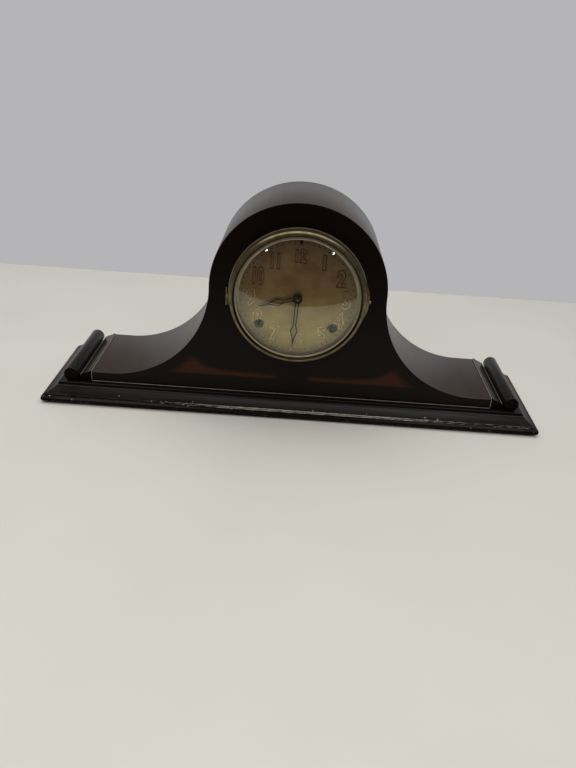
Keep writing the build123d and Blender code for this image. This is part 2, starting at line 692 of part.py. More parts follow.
# Pull at the right: a crescent tongue on the bezel with a small pointed knob
pull_y = bezel_back - PULL_SHEET / 2
pull_edge = pan_radius + PULL_REACH
with BuildPart() as bezel_pull:
    with BuildSketch(facing(bezel_back)) as crescent:
        with BuildLine():
            CenterArc(centre_at, pull_edge, -PULL_ARC, 2 * PULL_ARC)
            Line(step(centre_at, pull_edge, PULL_ARC), step(centre_at, bezel_radius, PULL_ARC + HINGE_LEAF))
            CenterArc(centre_at, bezel_radius, -PULL_ARC - HINGE_LEAF, 2 * (PULL_ARC + HINGE_LEAF))
            Line(step(centre_at, bezel_radius, -PULL_ARC - HINGE_LEAF), step(centre_at, pull_edge, -PULL_ARC))
        make_face()
    extrude(amount=PULL_SHEET)
    with BuildSketch(Plane.XY.offset(dial_z)):
        with BuildLine():
            Polyline((pull_edge - PULL_SHEET, pull_y), (pull_edge - PULL_SHEET, pull_y - PULL_KNOB / 2),
                     (pull_edge, pull_y - PULL_KNOB / 2),
                     (pull_edge + PULL_KNOB_REACH, pull_y - PULL_SHEET / 2),
                     (pull_edge + PULL_KNOB_REACH, pull_y), close=True)
        make_face()
    revolve(axis=Axis((0, pull_y, dial_z), (1, 0, 0)))
keep(bezel_pull, "bezel_pull")


def pierced_hand(length, bearing, diamond, front, bore):
    """A pierced hand: two bars from the boss to a diamond, and a single spike from the diamond to the tip."""
    back = front + HAND_SHEET
    rod(centre_at, HAND_BOSS, front, back)
    far_end = step(centre_at, diamond + 3 * HAND_DIAMOND_HALF, bearing)
    waist = step(centre_at, diamond - 2 * HAND_DIAMOND_HALF, bearing)
    for side in (-1, 1):
        root = step(centre_at, HAND_BOSS / 2 - HAND_BAR, bearing + side * HAND_ROOT_SPREAD)
        corner = step(step(centre_at, diamond, bearing), HAND_DIAMOND_HALF, bearing + side * 90)
        neck = step(waist, HAND_BAR, bearing + side * 90)
        bar(root, neck, HAND_BAR, HAND_BAR, front, back)
        bar(neck, corner, HAND_BAR, HAND_BAR, front, back)
        bar(corner, far_end, HAND_BAR, HAND_BAR, front, back)
    spike_root = step(far_end, -HAND_BAR, bearing)
    bar(spike_root, step(centre_at, length, bearing), 2 * HAND_BAR, HAND_SHEET, front, back)
    rod(centre_at, bore, front, back, Mode.SUBTRACT)


# Hands, hand nut and the motion work that turns the hour hand once for twelve turns of the minute hand
hour_front = dial_y - HOUR_HAND_LIFT
minute_front = dial_y - MINUTE_HAND_LIFT
cannon_module = 2 * MOTION_DISTANCE / (CANNON_TEETH + MINUTE_TEETH)
hour_module = 2 * MOTION_DISTANCE / (MINUTE_PINION + HOUR_TEETH)
cannon_back = plate_y - AIR
minute_wheel_front = cannon_back - 2 * WHEEL_SHEET
hour_wheel_back = minute_wheel_front - WHEEL_SHEET
hour_wheel_front = hour_wheel_back - WHEEL_SHEET
with BuildPart() as hour_hand:
    pierced_hand(HOUR_HAND_LENGTH, HOUR_HAND_BEARING, HOUR_DIAMOND, hour_front, HOUR_PIPE)
keep(hour_hand, "hour_hand")

with BuildPart() as minute_hand:
    pierced_hand(MINUTE_HAND_LENGTH, MINUTE_HAND_BEARING, MINUTE_DIAMOND, minute_front, CANNON_PIPE)
keep(minute_hand, "minute_hand")

with BuildPart() as hand_nut:
    rod(centre_at, HAND_NUT, minute_front - HAND_NUT_HEIGHT, minute_front)
    rod(centre_at, CENTRE_ARBOR + 2 * RUNNING, minute_front - HAND_NUT_HEIGHT, minute_front, Mode.SUBTRACT)
keep(hand_nut, "hand_nut")

with BuildPart() as cannon_pinion:
    gear(centre_at, CANNON_TEETH, cannon_module, CENTRE_TO_MINUTE, minute_wheel_front, cannon_back,
         PINION_LEAF)
    rod(centre_at, CANNON_PIPE, minute_front, cannon_back)
    rod(centre_at, CENTRE_ARBOR + 2 * RUNNING, minute_front, cannon_back, Mode.SUBTRACT)
keep(cannon_pinion, "cannon_pinion")

with BuildPart() as minute_wheel:
    gear(minute_at, MINUTE_TEETH, cannon_module, gap_at(CENTRE_TO_MINUTE, MINUTE_TEETH),
         minute_wheel_front + AIR, cannon_back - AIR)
    gear(minute_at, MINUTE_PINION, hour_module, CENTRE_TO_MINUTE + 180,
         hour_wheel_front - AIR, minute_wheel_front + AIR, PINION_LEAF)
    rod(minute_at, MINUTE_STUD + 2 * RUNNING, hour_wheel_front - AIR, cannon_back, Mode.SUBTRACT)
keep(minute_wheel, "minute_wheel")

with BuildPart() as hour_wheel:
    gear(centre_at, HOUR_TEETH, hour_module, gap_at(CENTRE_TO_MINUTE + 180, HOUR_TEETH),
         hour_wheel_front, hour_wheel_back)
    rod(centre_at, HOUR_PIPE, hour_front, hour_wheel_back)
    rod(centre_at, CANNON_PIPE + 2 * RUNNING, hour_front, hour_wheel_back, Mode.SUBTRACT)
keep(hour_wheel, "hour_wheel")


def plate_blank(front, back):
    """A movement plate with its ear for the regulator and three windows."""
    with BuildSketch(facing(back)) as blank:
        with Locations((0, dial_z + (PLATE_ABOVE - PLATE_BELOW) / 2)):
            RectangleRounded(plate_width, PLATE_ABOVE + PLATE_BELOW, PLATE_CORNER)
        with Locations((0, dial_z + PLATE_ABOVE)):
            Rectangle(PLATE_EAR_WIDTH, 2 * PLATE_EAR)
        for (x, z), size in (LOWER_WINDOW, RIGHT_WINDOW, LEFT_WINDOW):
            with Locations((x, dial_z + z)):
                RectangleRounded(*size, PLATE_CORNER / 3, mode=Mode.SUBTRACT)
    extrude(blank.sketch, amount=back - front)
    for place in pillar_places:
        rod(place, PILLAR_STUD, front, back, Mode.SUBTRACT)
    for place in train_places + [verge_at]:
        rod(place, PIVOT + 2 * RUNNING, front, back, Mode.SUBTRACT)
    for place in (time_at, strike_at):
        rod(place, WINDING_ARBOR + 2 * RUNNING, front, back, Mode.SUBTRACT)
    rod(centre_at, CENTRE_ARBOR + 2 * RUNNING, front, back, Mode.SUBTRACT)
    rod(regulator_at, REGULATOR + 2 * RUNNING, front, back, Mode.SUBTRACT)


# Movement plates, the pillars between them and the posts that hold the movement to the front board
with BuildPart() as front_plate:
    plate_blank(plate_y, inner_y)
    rod(minute_at, MINUTE_STUD, hour_wheel_front - 2 * AIR, inner_y)
    for place in post_places:
        rod(place, POST_SHANK, plate_y, inner_y, Mode.SUBTRACT)
keep(front_plate, "front_plate")

with BuildPart() as back_plate:
    plate_blank(rear_plate_y, rear_y)
keep(back_plate, "back_plate")

with BuildPart() as plate_pillars:
    for place in pillar_places:
        rod(place, PILLAR, inner_y, rear_plate_y)
        rod(place, PILLAR_STUD, plate_y, rear_y + PILLAR_NUT_HEIGHT)
keep(plate_pillars, "plate_pillars")

with BuildPart() as pillar_nuts:
    for place in pillar_places:
        with BuildSketch(facing(rear_y + PILLAR_NUT_HEIGHT)):
            with Locations(place):
                RegularPolygon(PILLAR_NUT / 2, 6)
                Circle(PILLAR_STUD / 2, mode=Mode.SUBTRACT)
        extrude(amount=PILLAR_NUT_HEIGHT)
keep(pillar_nuts, "pillar_nuts")

with BuildPart() as movement_posts:
    for place in post_places:
        rod(place, POST, board_y, plate_y)
        rod(place, POST_SHANK, board_y - POST_GRIP, inner_y)
        rod(place, POST_HEAD, inner_y, inner_y + POST_HEAD_HEIGHT)
keep(movement_posts, "movement_posts")

# The two spring sides, time at the right and strike at the left, alike apart from their hand
great_front = inner_y + GREAT_LAYER
great_back = great_front + GREAT_SHEET
ratchet_front = great_back + 2 * AIR
ratchet_back = ratchet_front + RATCHET_SHEET
spring_front = ratchet_back + RATCHET_SHEET
spring_back = spring_front + SPRING_WIDTH
great_meets = {"time": SECOND_TO_GREAT + 180, "strike": GREAT_TO_STRIKE_SECOND}
for name, hand, place in (("time", 1, time_at), ("strike", -1, strike_at)):
    stud_at = (place[0], place[1] + CLICK_OFFSET)
    with BuildPart() as great_wheel:
        gear(place, GREAT_TEETH, GREAT_MODULE, great_meets[name], great_front, great_back)
        with BuildSketch(facing(great_back)):
            with Locations(place):
                Rectangle(CLICK_EYE, 2 * CLICK_OFFSET + CLICK_EYE)
        extrude(amount=great_back - great_front)
        rod(stud_at, CLICK_STUD, great_front, ratchet_back)
        rod(place, WINDING_ARBOR + 2 * RUNNING, great_front, great_back, Mode.SUBTRACT)
    keep(great_wheel, f"{name}_great_wheel")

    with BuildPart() as winding_arbor:
        rod(place, WINDING_ARBOR, plate_y - PLATE, rear_y)
        with BuildSketch(facing(plate_y - PLATE)):
            with Locations(place):
                Rectangle(WINDING_SQUARE, WINDING_SQUARE)
        extrude(amount=plate_y - PLATE - dial_y - DIAL_SHEET / 2)
        saw = []
        for tooth in range(RATCHET_TEETH):
            bearing = hand * tooth * 360 / RATCHET_TEETH
            saw.append(step(place, RATCHET_RADIUS - RATCHET_TOOTH, bearing))
            saw.append(step(place, RATCHET_RADIUS, bearing))
        with BuildSketch(facing(ratchet_back)):
            with BuildLine():
                Polyline(*saw, close=True)
            make_face()
        extrude(amount=RATCHET_SHEET)
    keep(winding_arbor, f"{name}_winding_arbor")

    nose_at = step(place, RATCHET_RADIUS + AIR + CLICK_NOSE, 90 + hand * CLICK_NOSE_BEARING)
    with BuildPart() as click:
        rod(stud_at, CLICK_EYE, ratchet_front, ratchet_back - AIR)
        bar(stud_at, nose_at, CLICK_EYE / 2, CLICK_NOSE, ratchet_front, ratchet_back - AIR)
        rod(stud_at, CLICK_STUD + 2 * RUNNING, ratchet_front, ratchet_back, Mode.SUBTRACT)
    keep(click, f"{name}_click")

    # Mainspring: half turns about two centres, and a straight tail that bears on the lower pillar
    pillar_at = pillar_places[1] if hand > 0 else pillar_places[0]
    half_turns = 2 * SPRING_TURNS
    spring_inner = WINDING_ARBOR / 2 + SPRING_STRIP / 2 + RUNNING
    growth = (SPRING_RADIUS - spring_inner) / half_turns
    tail_low = pillar_at[1] - place[1]
    with BuildPart() as mainspring:
        with BuildSketch(Plane((place[0], spring_back, place[1]), x_dir=(hand, 0, 0), z_dir=(0, -hand, 0))):
            with BuildLine():
                for edge in (-SPRING_STRIP / 2, SPRING_STRIP / 2):
                    for half in range(half_turns):
                        CenterArc((growth * (half % 2), 0), spring_inner + half * growth + edge,
                                  180 - 180 * (half % 2), 180)
                    Line((SPRING_RADIUS + edge, 0), (SPRING_RADIUS + edge, tail_low))
                Line((spring_inner - SPRING_STRIP / 2, 0), (spring_inner + SPRING_STRIP / 2, 0))
                Line((SPRING_RADIUS - SPRING_STRIP / 2, tail_low),
                     (SPRING_RADIUS + SPRING_STRIP / 2, tail_low))
            make_face()
        extrude(amount=hand * SPRING_WIDTH)
    keep(mainspring, f"{name}_mainspring")

# Time train from the great wheel to the escape wheel
second_layer = inner_y + SECOND_LAYER
centre_layer = inner_y + CENTRE_LAYER
third_layer = inner_y + THIRD_LAYER
escape_layer = inner_y + ESCAPE_LAYER
cam_layer = inner_y + CAM_LAYER
with BuildPart() as second_wheel:
    arbor(second_at)
    gear(second_at, GREAT_PINION, GREAT_MODULE, gap_at(SECOND_TO_GREAT + 180, GREAT_PINION),
         great_front - 3 * AIR, great_back + 3 * AIR, PINION_LEAF)
    gear(second_at, SECOND_TEETH, SECOND_MODULE, CENTRE_TO_SECOND + 180,
         second_layer, second_layer + WHEEL_SHEET)
keep(second_wheel, "second_wheel")

with BuildPart() as centre_wheel:
    rod(centre_at, CENTRE_ARBOR, minute_front - HAND_NUT_HEIGHT - AIR, rear_y)
    gear(centre_at, CENTRE_PINION, SECOND_MODULE, gap_at(CENTRE_TO_SECOND + 180, CENTRE_PINION),
         second_layer - AIR, second_layer + WHEEL_SHEET + AIR, PINION_LEAF)
    gear(centre_at, CENTRE_TEETH, CENTRE_MODULE, CENTRE_TO_THIRD, centre_layer, centre_layer + WHEEL_SHEET)
    with BuildSketch(facing(cam_layer + WHEEL_SHEET)):
        with Locations(centre_at):
            Circle(LIFT_CAM)
            Rectangle(2 * LIFT_CAM, 2 * LIFT_CAM_FLAT, mode=Mode.INTERSECT)
    extrude(amount=WHEEL_SHEET)
keep(centre_wheel, "centre_wheel")

with BuildPart() as third_wheel:
    arbor(third_at)
    gear(third_at, THIRD_PINION, CENTRE_MODULE, gap_at(CENTRE_TO_THIRD, THIRD_PINION),
         centre_layer - 2 * AIR, centre_layer + WHEEL_SHEET + 2 * AIR, PINION_LEAF)
    gear(third_at, THIRD_TEETH, THIRD_MODULE, THIRD_TO_ESCAPE, third_layer, third_layer + WHEEL_SHEET)
keep(third_wheel, "third_wheel")

escape_teeth = []
escape_pitch = 360 / ESCAPE_TEETH
for tooth in range(ESCAPE_TEETH):
    bearing = 90 + tooth * escape_pitch
    escape_teeth.append(step(escape_at, ESCAPE_RADIUS - ESCAPE_TOOTH, bearing - ESCAPE_HEEL * escape_pitch))
    escape_teeth.append(step(escape_at, ESCAPE_RADIUS, bearing - ESCAPE_TIP / 2 * escape_pitch))
    escape_teeth.append(step(escape_at, ESCAPE_RADIUS, bearing + ESCAPE_TIP / 2 * escape_pitch))
    escape_teeth.append(step(escape_at, ESCAPE_RADIUS - ESCAPE_TOOTH, bearing + ESCAPE_FACE * escape_pitch))
escape_window = ESCAPE_RADIUS - ESCAPE_TOOTH - RIM
with BuildPart() as escape_wheel:
    arbor(escape_at)
    gear(escape_at, ESCAPE_PINION, THIRD_MODULE, gap_at(THIRD_TO_ESCAPE, ESCAPE_PINION),
         third_layer - 2 * AIR, third_layer + WHEEL_SHEET + 2 * AIR, PINION_LEAF)
    with BuildSketch(facing(escape_layer + WHEEL_SHEET)):
        with BuildLine():
            Polyline(*escape_teeth, close=True)
        make_face()
        with Locations(escape_at):
            Circle(escape_window, mode=Mode.SUBTRACT)
            Circle(HUB / 2)
            Rectangle(2 * escape_window + RIM, SPOKE)
            Rectangle(SPOKE, 2 * escape_window + RIM)
    extrude(amount=WHEEL_SHEET)
keep(escape_wheel, "escape_wheel")

# Verge: two pallets over the escape wheel, and the crutch that embraces the pendulum rod
pendulum_y = rear_y + PENDULUM_SETBACK
crutch_y = rear_y + CRUTCH_SETBACK
crutch_low = verge_at[1] - CRUTCH_LENGTH
pallet_low = ESCAPE_RADIUS + AIR
with BuildPart() as verge:
    arbor(verge_at, back=crutch_y + CRUTCH_SHEET)
    rod(verge_at, VERGE_HUB, escape_layer, escape_layer + VERGE_SHEET)
    for side in (-1, 1):
        bearing = 90 + side * PALLET_PITCHES * escape_pitch
        shoulder = step(escape_at, pallet_low + PALLET_DEPTH, bearing)
        bar(verge_at, shoulder, VERGE_HUB / 2, PALLET, escape_layer, escape_layer + VERGE_SHEET)
        bar(shoulder, step(escape_at, pallet_low, bearing), 2 * PALLET, PALLET,
            escape_layer, escape_layer + VERGE_SHEET)
    rod(verge_at, VERGE_HUB, crutch_y, crutch_y + CRUTCH_SHEET)
    block((verge_at[0] - CRUTCH, crutch_y, crutch_low),
          (verge_at[0] + CRUTCH, crutch_y + CRUTCH_SHEET, verge_at[1]))
    block((verge_at[0] - 2 * PENDULUM_ROD, crutch_y, crutch_low),
          (verge_at[0] + 2 * PENDULUM_ROD, pendulum_y + 2 * PENDULUM_ROD, crutch_low + CRUTCH))
    upright(verge_at[0], pendulum_y, PENDULUM_ROD + 2 * AIR, crutch_low, crutch_low + CRUTCH, Mode.SUBTRACT)
keep(verge, "verge")

# Suspension cock on the back plate; the spring hangs at the level of the verge
cock_low = verge_at[1] + VERGE_HUB / 2 + AIR
cock_high = dial_z + PLATE_ABOVE + PLATE_EAR
cock_half = PLATE_EAR_WIDTH / 3
jaw_half = SUSPENSION_WIDTH / 2
with BuildPart() as suspension_cock:
    block((-cock_half, rear_y, cock_low), (cock_half, rear_y + PLATE, cock_high))
    block((verge_at[0] - jaw_half, rear_y, cock_low),
          (verge_at[0] + jaw_half, pendulum_y + jaw_half, cock_low + SUSPENSION_WIDTH))
    block((verge_at[0] - jaw_half, pendulum_y - jaw_half, verge_at[1] + RUNNING),
          (verge_at[0] + jaw_half, pendulum_y + jaw_half, cock_low))
    rod(regulator_at, REGULATOR + 2 * RUNNING, rear_y, rear_y + PLATE, Mode.SUBTRACT)
keep(suspension_cock, "suspension_cock")

spring_low = verge_at[1] - SUSPENSION_LENGTH
with BuildPart() as suspension_spring:
    block((verge_at[0] - SUSPENSION_STRIP / 2, pendulum_y - jaw_half, spring_low),
          (verge_at[0] + SUSPENSION_STRIP / 2, pendulum_y + jaw_half, verge_at[1]))
keep(suspension_spring, "suspension_spring")

bob_z = verge_at[1] - PENDULUM_LENGTH
rod_low = bob_z - BOB_DIAMETER / 2
with BuildPart() as pendulum_rod:
    upright(verge_at[0], pendulum_y, PENDULUM_ROD, rod_low, spring_low)
    block((verge_at[0] - PENDULUM_ROD, pendulum_y - jaw_half, spring_low - SUSPENSION_WIDTH),
          (verge_at[0] + PENDULUM_ROD, pendulum_y + jaw_half, spring_low))
keep(pendulum_rod, "pendulum_rod")

with BuildPart() as pendulum_bob:
    rod((verge_at[0], bob_z), BOB_DIAMETER, pendulum_y - BOB_THICKNESS / 2, pendulum_y + BOB_THICKNESS / 2)
    chamfer(pendulum_bob.edges().filter_by(GeomType.CIRCLE), BOB_EDGE)
    upright(verge_at[0], pendulum_y, PENDULUM_ROD, rod_low, bob_z + BOB_DIAMETER, Mode.SUBTRACT)
keep(pendulum_bob, "pendulum_bob")

# Regulator arbor from the top of the dial to the cock
with BuildPart() as regulator_arbor:
    rod(regulator_at, REGULATOR, dial_y + DIAL_SHEET / 2, rear_y + PLATE)
keep(regulator_arbor, "regulator_arbor")

# Strike train: second wheel, pin wheel and fly
pin_layer = inner_y + PIN_LAYER
with BuildPart() as strike_second_wheel:
    arbor(strike_second_at)
    gear(strike_second_at, GREAT_PINION, GREAT_MODULE, gap_at(GREAT_TO_STRIKE_SECOND, GREAT_PINION),
         great_front - 3 * AIR, great_back + 3 * AIR, PINION_LEAF)
    gear(strike_second_at, STRIKE_SECOND_TEETH, STRIKE_SECOND_MODULE, STRIKE_SECOND_TO_PIN,
         second_layer, second_layer + WHEEL_SHEET)
keep(strike_second_wheel, "strike_second_wheel")

with BuildPart() as pin_wheel:
    arbor(pin_at)
    gear(pin_at, PIN_PINION, STRIKE_SECOND_MODULE, gap_at(STRIKE_SECOND_TO_PIN, PIN_PINION),
         second_layer - 2 * AIR, second_layer + WHEEL_SHEET + 2 * AIR, PINION_LEAF)
    gear(pin_at, PIN_TEETH, PIN_MODULE, PIN_TO_FLY, pin_layer, pin_layer + WHEEL_SHEET)
    rod(pin_at, 2 * (PIN_CIRCLE + LIFT_PIN), pin_layer, pin_layer + WHEEL_SHEET)
    for pin in range(LIFT_PINS):
        rod(step(pin_at, PIN_CIRCLE, pin * 360 / LIFT_PINS), LIFT_PIN, pin_layer,
            pin_layer + WHEEL_SHEET + LIFT_PIN_LENGTH)
keep(pin_wheel, "pin_wheel")

fly_layer = inner_y + FLY_LAYER
with BuildPart() as fly:
    arbor(fly_at)
    gear(fly_at, FLY_PINION, PIN_MODULE, gap_at(PIN_TO_FLY, FLY_PINION),
         pin_layer - 2 * AIR, pin_layer + WHEEL_SHEET + 2 * AIR, PINION_LEAF)
    block((fly_at[0] - FLY_SPAN / 2, fly_layer, fly_at[1] - FLY_SHEET / 2),
          (fly_at[0] + FLY_SPAN / 2, fly_layer + FLY_WIDTH, fly_at[1] + FLY_SHEET / 2))
keep(fly, "fly")

# Count wheel on the strike great wheel, and the lever whose finger drops into its notches
count_front = great_front - COUNT_SHEET
with BuildPart() as count_wheel:
    with BuildSketch(facing(great_front)):
        with Locations(strike_at):
            Circle(COUNT_RADIUS)
            Circle(WINDING_ARBOR / 2 + RUNNING, mode=Mode.SUBTRACT)
            with PolarLocations(COUNT_RADIUS, COUNT_NOTCHES):
                Rectangle(2 * COUNT_NOTCH, COUNT_NOTCH, mode=Mode.SUBTRACT)
    extrude(amount=COUNT_SHEET)
keep(count_wheel, "count_wheel")

finger_way = Vector(lever_at[0] - strike_at[0], lever_at[1] - strike_at[1]).normalized()
finger_reach = COUNT_RADIUS + 2 * AIR
finger_at = (strike_at[0] + finger_reach * finger_way.X, strike_at[1] + finger_reach * finger_way.Y)
lift_way = Vector(lever_at[0] - centre_at[0], lever_at[1] - centre_at[1]).normalized()
lift_reach = LIFT_CAM + 2 * AIR
lift_at = (centre_at[0] + lift_reach * lift_way.X, centre_at[1] + lift_reach * lift_way.Y)
with BuildPart() as strike_lever:
    arbor(lever_at)
    bar(lever_at, finger_at, 2 * LEVER_BAR, LEVER_BAR / 2, count_front - AIR, great_front - 2 * AIR)
    bar(lever_at, lift_at, 2 * LEVER_BAR, LEVER_BAR, cam_layer, cam_layer + WHEEL_SHEET)
keep(strike_lever, "strike_lever")

# Gong: a steel wire that rises from its block and coils inwards, half a turn at a time
gong_y = rear_y + GONG_SETBACK
gong_z = BASE_HEIGHT + GONG_RISE
gong_foot = BASE_HEIGHT + GONG_BLOCK_HEIGHT
gong_shrink = (GONG_WIRE + GONG_GAP) / 2
with BuildPart() as gong:
    with BuildLine(facing(gong_y)) as gong_path:
        Line((GONG_X + GONG_RADIUS, gong_foot), (GONG_X + GONG_RADIUS, gong_z))
        for half in range(2 * GONG_TURNS):
            CenterArc((GONG_X - gong_shrink * (half % 2), gong_z), GONG_RADIUS - half * gong_shrink,
                      180 * (half % 2), 180)
    with BuildSketch(Plane((GONG_X + GONG_RADIUS, gong_y, gong_foot))):
        Circle(GONG_WIRE / 2)
    sweep(path=gong_path.wires()[0])
keep(gong, "gong")

with BuildPart() as gong_block:
    block((GONG_X + GONG_RADIUS - GONG_BLOCK / 2, gong_y - GONG_BLOCK / 2, BASE_HEIGHT),
          (GONG_X + GONG_RADIUS + GONG_BLOCK / 2, gong_y + GONG_BLOCK / 2, gong_foot))
keep(gong_block, "gong_block")

# Hammer: an arbor with a tail at the lifting pins, a long wire behind the plates and a brass head
tail_span = Vector(pin_at[0] - hammer_at[0], pin_at[1] - hammer_at[1])
tail_reach = tail_span.length - PIN_CIRCLE - LIFT_PIN / 2 - AIR
tail_way = tail_span.normalized()
tail_at = (hammer_at[0] + tail_reach * tail_way.X, hammer_at[1] + tail_reach * tail_way.Y)
tail_front = pin_layer + WHEEL_SHEET + AIR
head_right = GONG_X - GONG_RADIUS - GONG_WIRE / 2 - HAMMER_GAP
head_at = (head_right - HAMMER_HEAD_LENGTH / 2, gong_z)
with BuildPart() as hammer:
    arbor(hammer_at, back=gong_y + HAMMER_WIRE / 2)
    bar(hammer_at, tail_at, ARBOR, LIFT_PIN, tail_front, tail_front + LIFT_PIN_LENGTH - AIR)
    rod(hammer_at, 2 * HAMMER_WIRE, gong_y - HAMMER_WIRE / 2, gong_y + HAMMER_WIRE / 2)
    bar(hammer_at, head_at, HAMMER_WIRE, HAMMER_WIRE, gong_y - HAMMER_WIRE / 2, gong_y + HAMMER_WIRE / 2)
    head_back = (head_right - HAMMER_HEAD_LENGTH, gong_y, gong_z)
    with Locations(Plane(head_back, x_dir=(0, 1, 0), z_dir=(1, 0, 0))):
        Cylinder(HAMMER_HEAD / 2, HAMMER_HEAD_LENGTH, align=(Align.CENTER, Align.CENTER, Align.MIN))
keep(hammer, "hammer")
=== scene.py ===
import json
from math import atan2, cos, hypot, pi, radians, sin

import bmesh
import bpy
from mathutils import Matrix, Vector


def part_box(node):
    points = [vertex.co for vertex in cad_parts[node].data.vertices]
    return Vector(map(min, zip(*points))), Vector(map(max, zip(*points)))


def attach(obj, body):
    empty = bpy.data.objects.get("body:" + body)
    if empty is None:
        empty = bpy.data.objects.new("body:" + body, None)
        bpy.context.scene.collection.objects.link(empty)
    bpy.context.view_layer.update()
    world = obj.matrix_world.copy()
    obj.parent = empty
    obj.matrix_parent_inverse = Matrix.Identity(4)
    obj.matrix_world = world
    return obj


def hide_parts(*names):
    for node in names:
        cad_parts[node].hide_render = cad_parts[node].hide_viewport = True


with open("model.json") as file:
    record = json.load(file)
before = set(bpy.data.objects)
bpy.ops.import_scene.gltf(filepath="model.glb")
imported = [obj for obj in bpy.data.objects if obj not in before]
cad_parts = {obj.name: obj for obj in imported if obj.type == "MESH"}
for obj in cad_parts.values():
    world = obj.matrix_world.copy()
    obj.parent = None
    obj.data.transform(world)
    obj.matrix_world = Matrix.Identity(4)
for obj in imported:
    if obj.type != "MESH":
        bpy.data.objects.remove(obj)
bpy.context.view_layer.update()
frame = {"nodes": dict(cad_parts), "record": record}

# The camera stands where the photograph was taken from: in front of the clock and above it,
# tipped down and held a little out of level. Its lens comes from the picture's focal length.
CAMERA_PLACE = (-0.0021, -0.7483, 0.3993)
CAMERA_PITCH = radians(27.463)
CAMERA_ROLL = radians(3.927)
CAMERA_YAW = radians(0.156)
FOCAL_PIXELS = 690.0
PICTURE_HEIGHT = 768
SENSOR = 36.0
scene = bpy.context.scene

camera = bpy.data.objects.new("camera", bpy.data.cameras.new("camera"))
camera.data.sensor_width = SENSOR
camera.data.lens = SENSOR * FOCAL_PIXELS / PICTURE_HEIGHT
camera.matrix_world = (Matrix.Translation(CAMERA_PLACE) @ Matrix.Rotation(CAMERA_YAW, 4, "Z")
                       @ Matrix.Rotation(pi / 2 - CAMERA_PITCH, 4, "X")
                       @ Matrix.Rotation(CAMERA_ROLL, 4, "Z"))
scene.collection.objects.link(camera)
scene.camera = camera
scene.view_settings.view_transform = "Standard"


# The table is a plain pale top, with its far edge where the pale wall of the room begins.
# One wide soft lamp hangs over it, two small ones burn far off in front, and the side of the room
# behind the camera is dark. Glossy rays see the near part of the table in that dark colour too, a
# painted dark reflection, so that a glossy surface mirrors only the table close by.
TABLE_COLOURS = "#d6d3c9", "#dfdcd3"
TABLE_MOTTLE = 1 / 6
TABLE_FRONT = -0.62
TABLE_BACK = 0.40
TABLE_HALF_LENGTH = 1.4
PAINTED_DARK_REFLECTION_FRONT = -0.385
WALL_COLOUR = "#b5b5b7"
DARK_ROOM_COLOUR = "#3a3733"
WALL_BEGINS = -0.35, 0.45
LOW_WALL_ENDS = 0.15, 0.45
LOW_WALL_STRENGTH = 1.2
ROOM_STRENGTH = 0.8
LAMP_PLACE = (-0.1, -0.35, 1.5)
LAMP_SIZE = 2.4
LAMP_POWER = 30.0
FAR_LAMP_PLACES = ((-1.39, -2.57, 1.12), (1.35, -2.57, 1.17))
FAR_LAMP_RADIUS = 0.04
FAR_LAMP_POWER = 2.0


def linear(code):
    """Give an sRGB hex colour as linear red, green, blue and alpha."""
    channels = [int(code[i:i + 2], 16) / 255 for i in (1, 3, 5)]
    return (*[c / 12.92 if c <= 0.04045 else ((c + 0.055) / 1.055) ** 2.4 for c in channels], 1.0)


def add(tree, kind, inputs=None, **settings):
    """Add a node with its settings, and fill or link its inputs."""
    node = tree.nodes.new(kind)
    for name, value in settings.items():
        setattr(node, name, value)
    for name, value in (inputs or {}).items():
        if isinstance(value, bpy.types.NodeSocket):
            tree.links.new(value, node.inputs[name])
        else:
            node.inputs[name].default_value = value
    return node


def noise(tree, vector, size, detail, roughness=0.5):
    """A cloudy value whose clouds are about a size across."""
    return add(tree, "ShaderNodeTexNoise", {"Vector": vector, "Scale": 1 / size, "Detail": detail,
                                            "Roughness": roughness}).outputs["Fac"]


def blend(tree, factor, first, last):
    """A mix of two colours, each a hex code or a socket."""
    first, last = (linear(c) if isinstance(c, str) else c for c in (first, last))
    return add(tree, "ShaderNodeMix", {0: factor, 6: first, 7: last}, data_type="RGBA").outputs[2]


def ramp(tree, value, start, end, low=0.0, high=1.0, **settings):
    """A value that goes from low to high while another goes from start to end."""
    return add(tree, "ShaderNodeMapRange", {"Value": value, "From Min": start, "From Max": end,
                                            "To Min": low, "To Max": high}, **settings).outputs[0]


def reckon(tree, operation, *values):
    """The result of a sum on values."""
    return add(tree, "ShaderNodeMath", dict(enumerate(values)), operation=operation).outputs[0]


def product(tree, first, *others):
    """All the values multiplied together."""
    for value in others:
        first = reckon(tree, "MULTIPLY", first, value)
    return first


def parts(tree, vector):
    """The X, Y and Z of a vector."""
    return add(tree, "ShaderNodeSeparateXYZ", {0: vector}).outputs


def new_finish(name, **constants):
    """Start a material: give it, its node tree, its shader and its Object coordinates."""
    made = bpy.data.materials.new(name)
    made.use_nodes = True
    tree = made.node_tree
    shader = tree.nodes["Principled BSDF"]
    for socket, value in constants.items():
        shader.inputs[socket].default_value = value
    return made, tree, shader, tree.nodes.new("ShaderNodeTexCoord").outputs["Object"]


# Painted table top: an even warm white with a faint mottle, hardly shiny.
table_top, tree, shader, place = new_finish("painted_table_top", Roughness=0.45)
shade = blend(tree, noise(tree, place, TABLE_MOTTLE, 3.0), *TABLE_COLOURS)
# Glossy rays see the table nearer than the front mark in the dark room colour: a painted dark
# reflection.
in_painted_dark_reflection = reckon(tree, "LESS_THAN", parts(tree, place)["Y"], PAINTED_DARK_REFLECTION_FRONT)
glossy = tree.nodes.new("ShaderNodeLightPath").outputs["Is Glossy Ray"]
seen = blend(tree, product(tree, in_painted_dark_reflection, glossy), shade, DARK_ROOM_COLOUR)
tree.links.new(seen, shader.inputs["Base Color"])

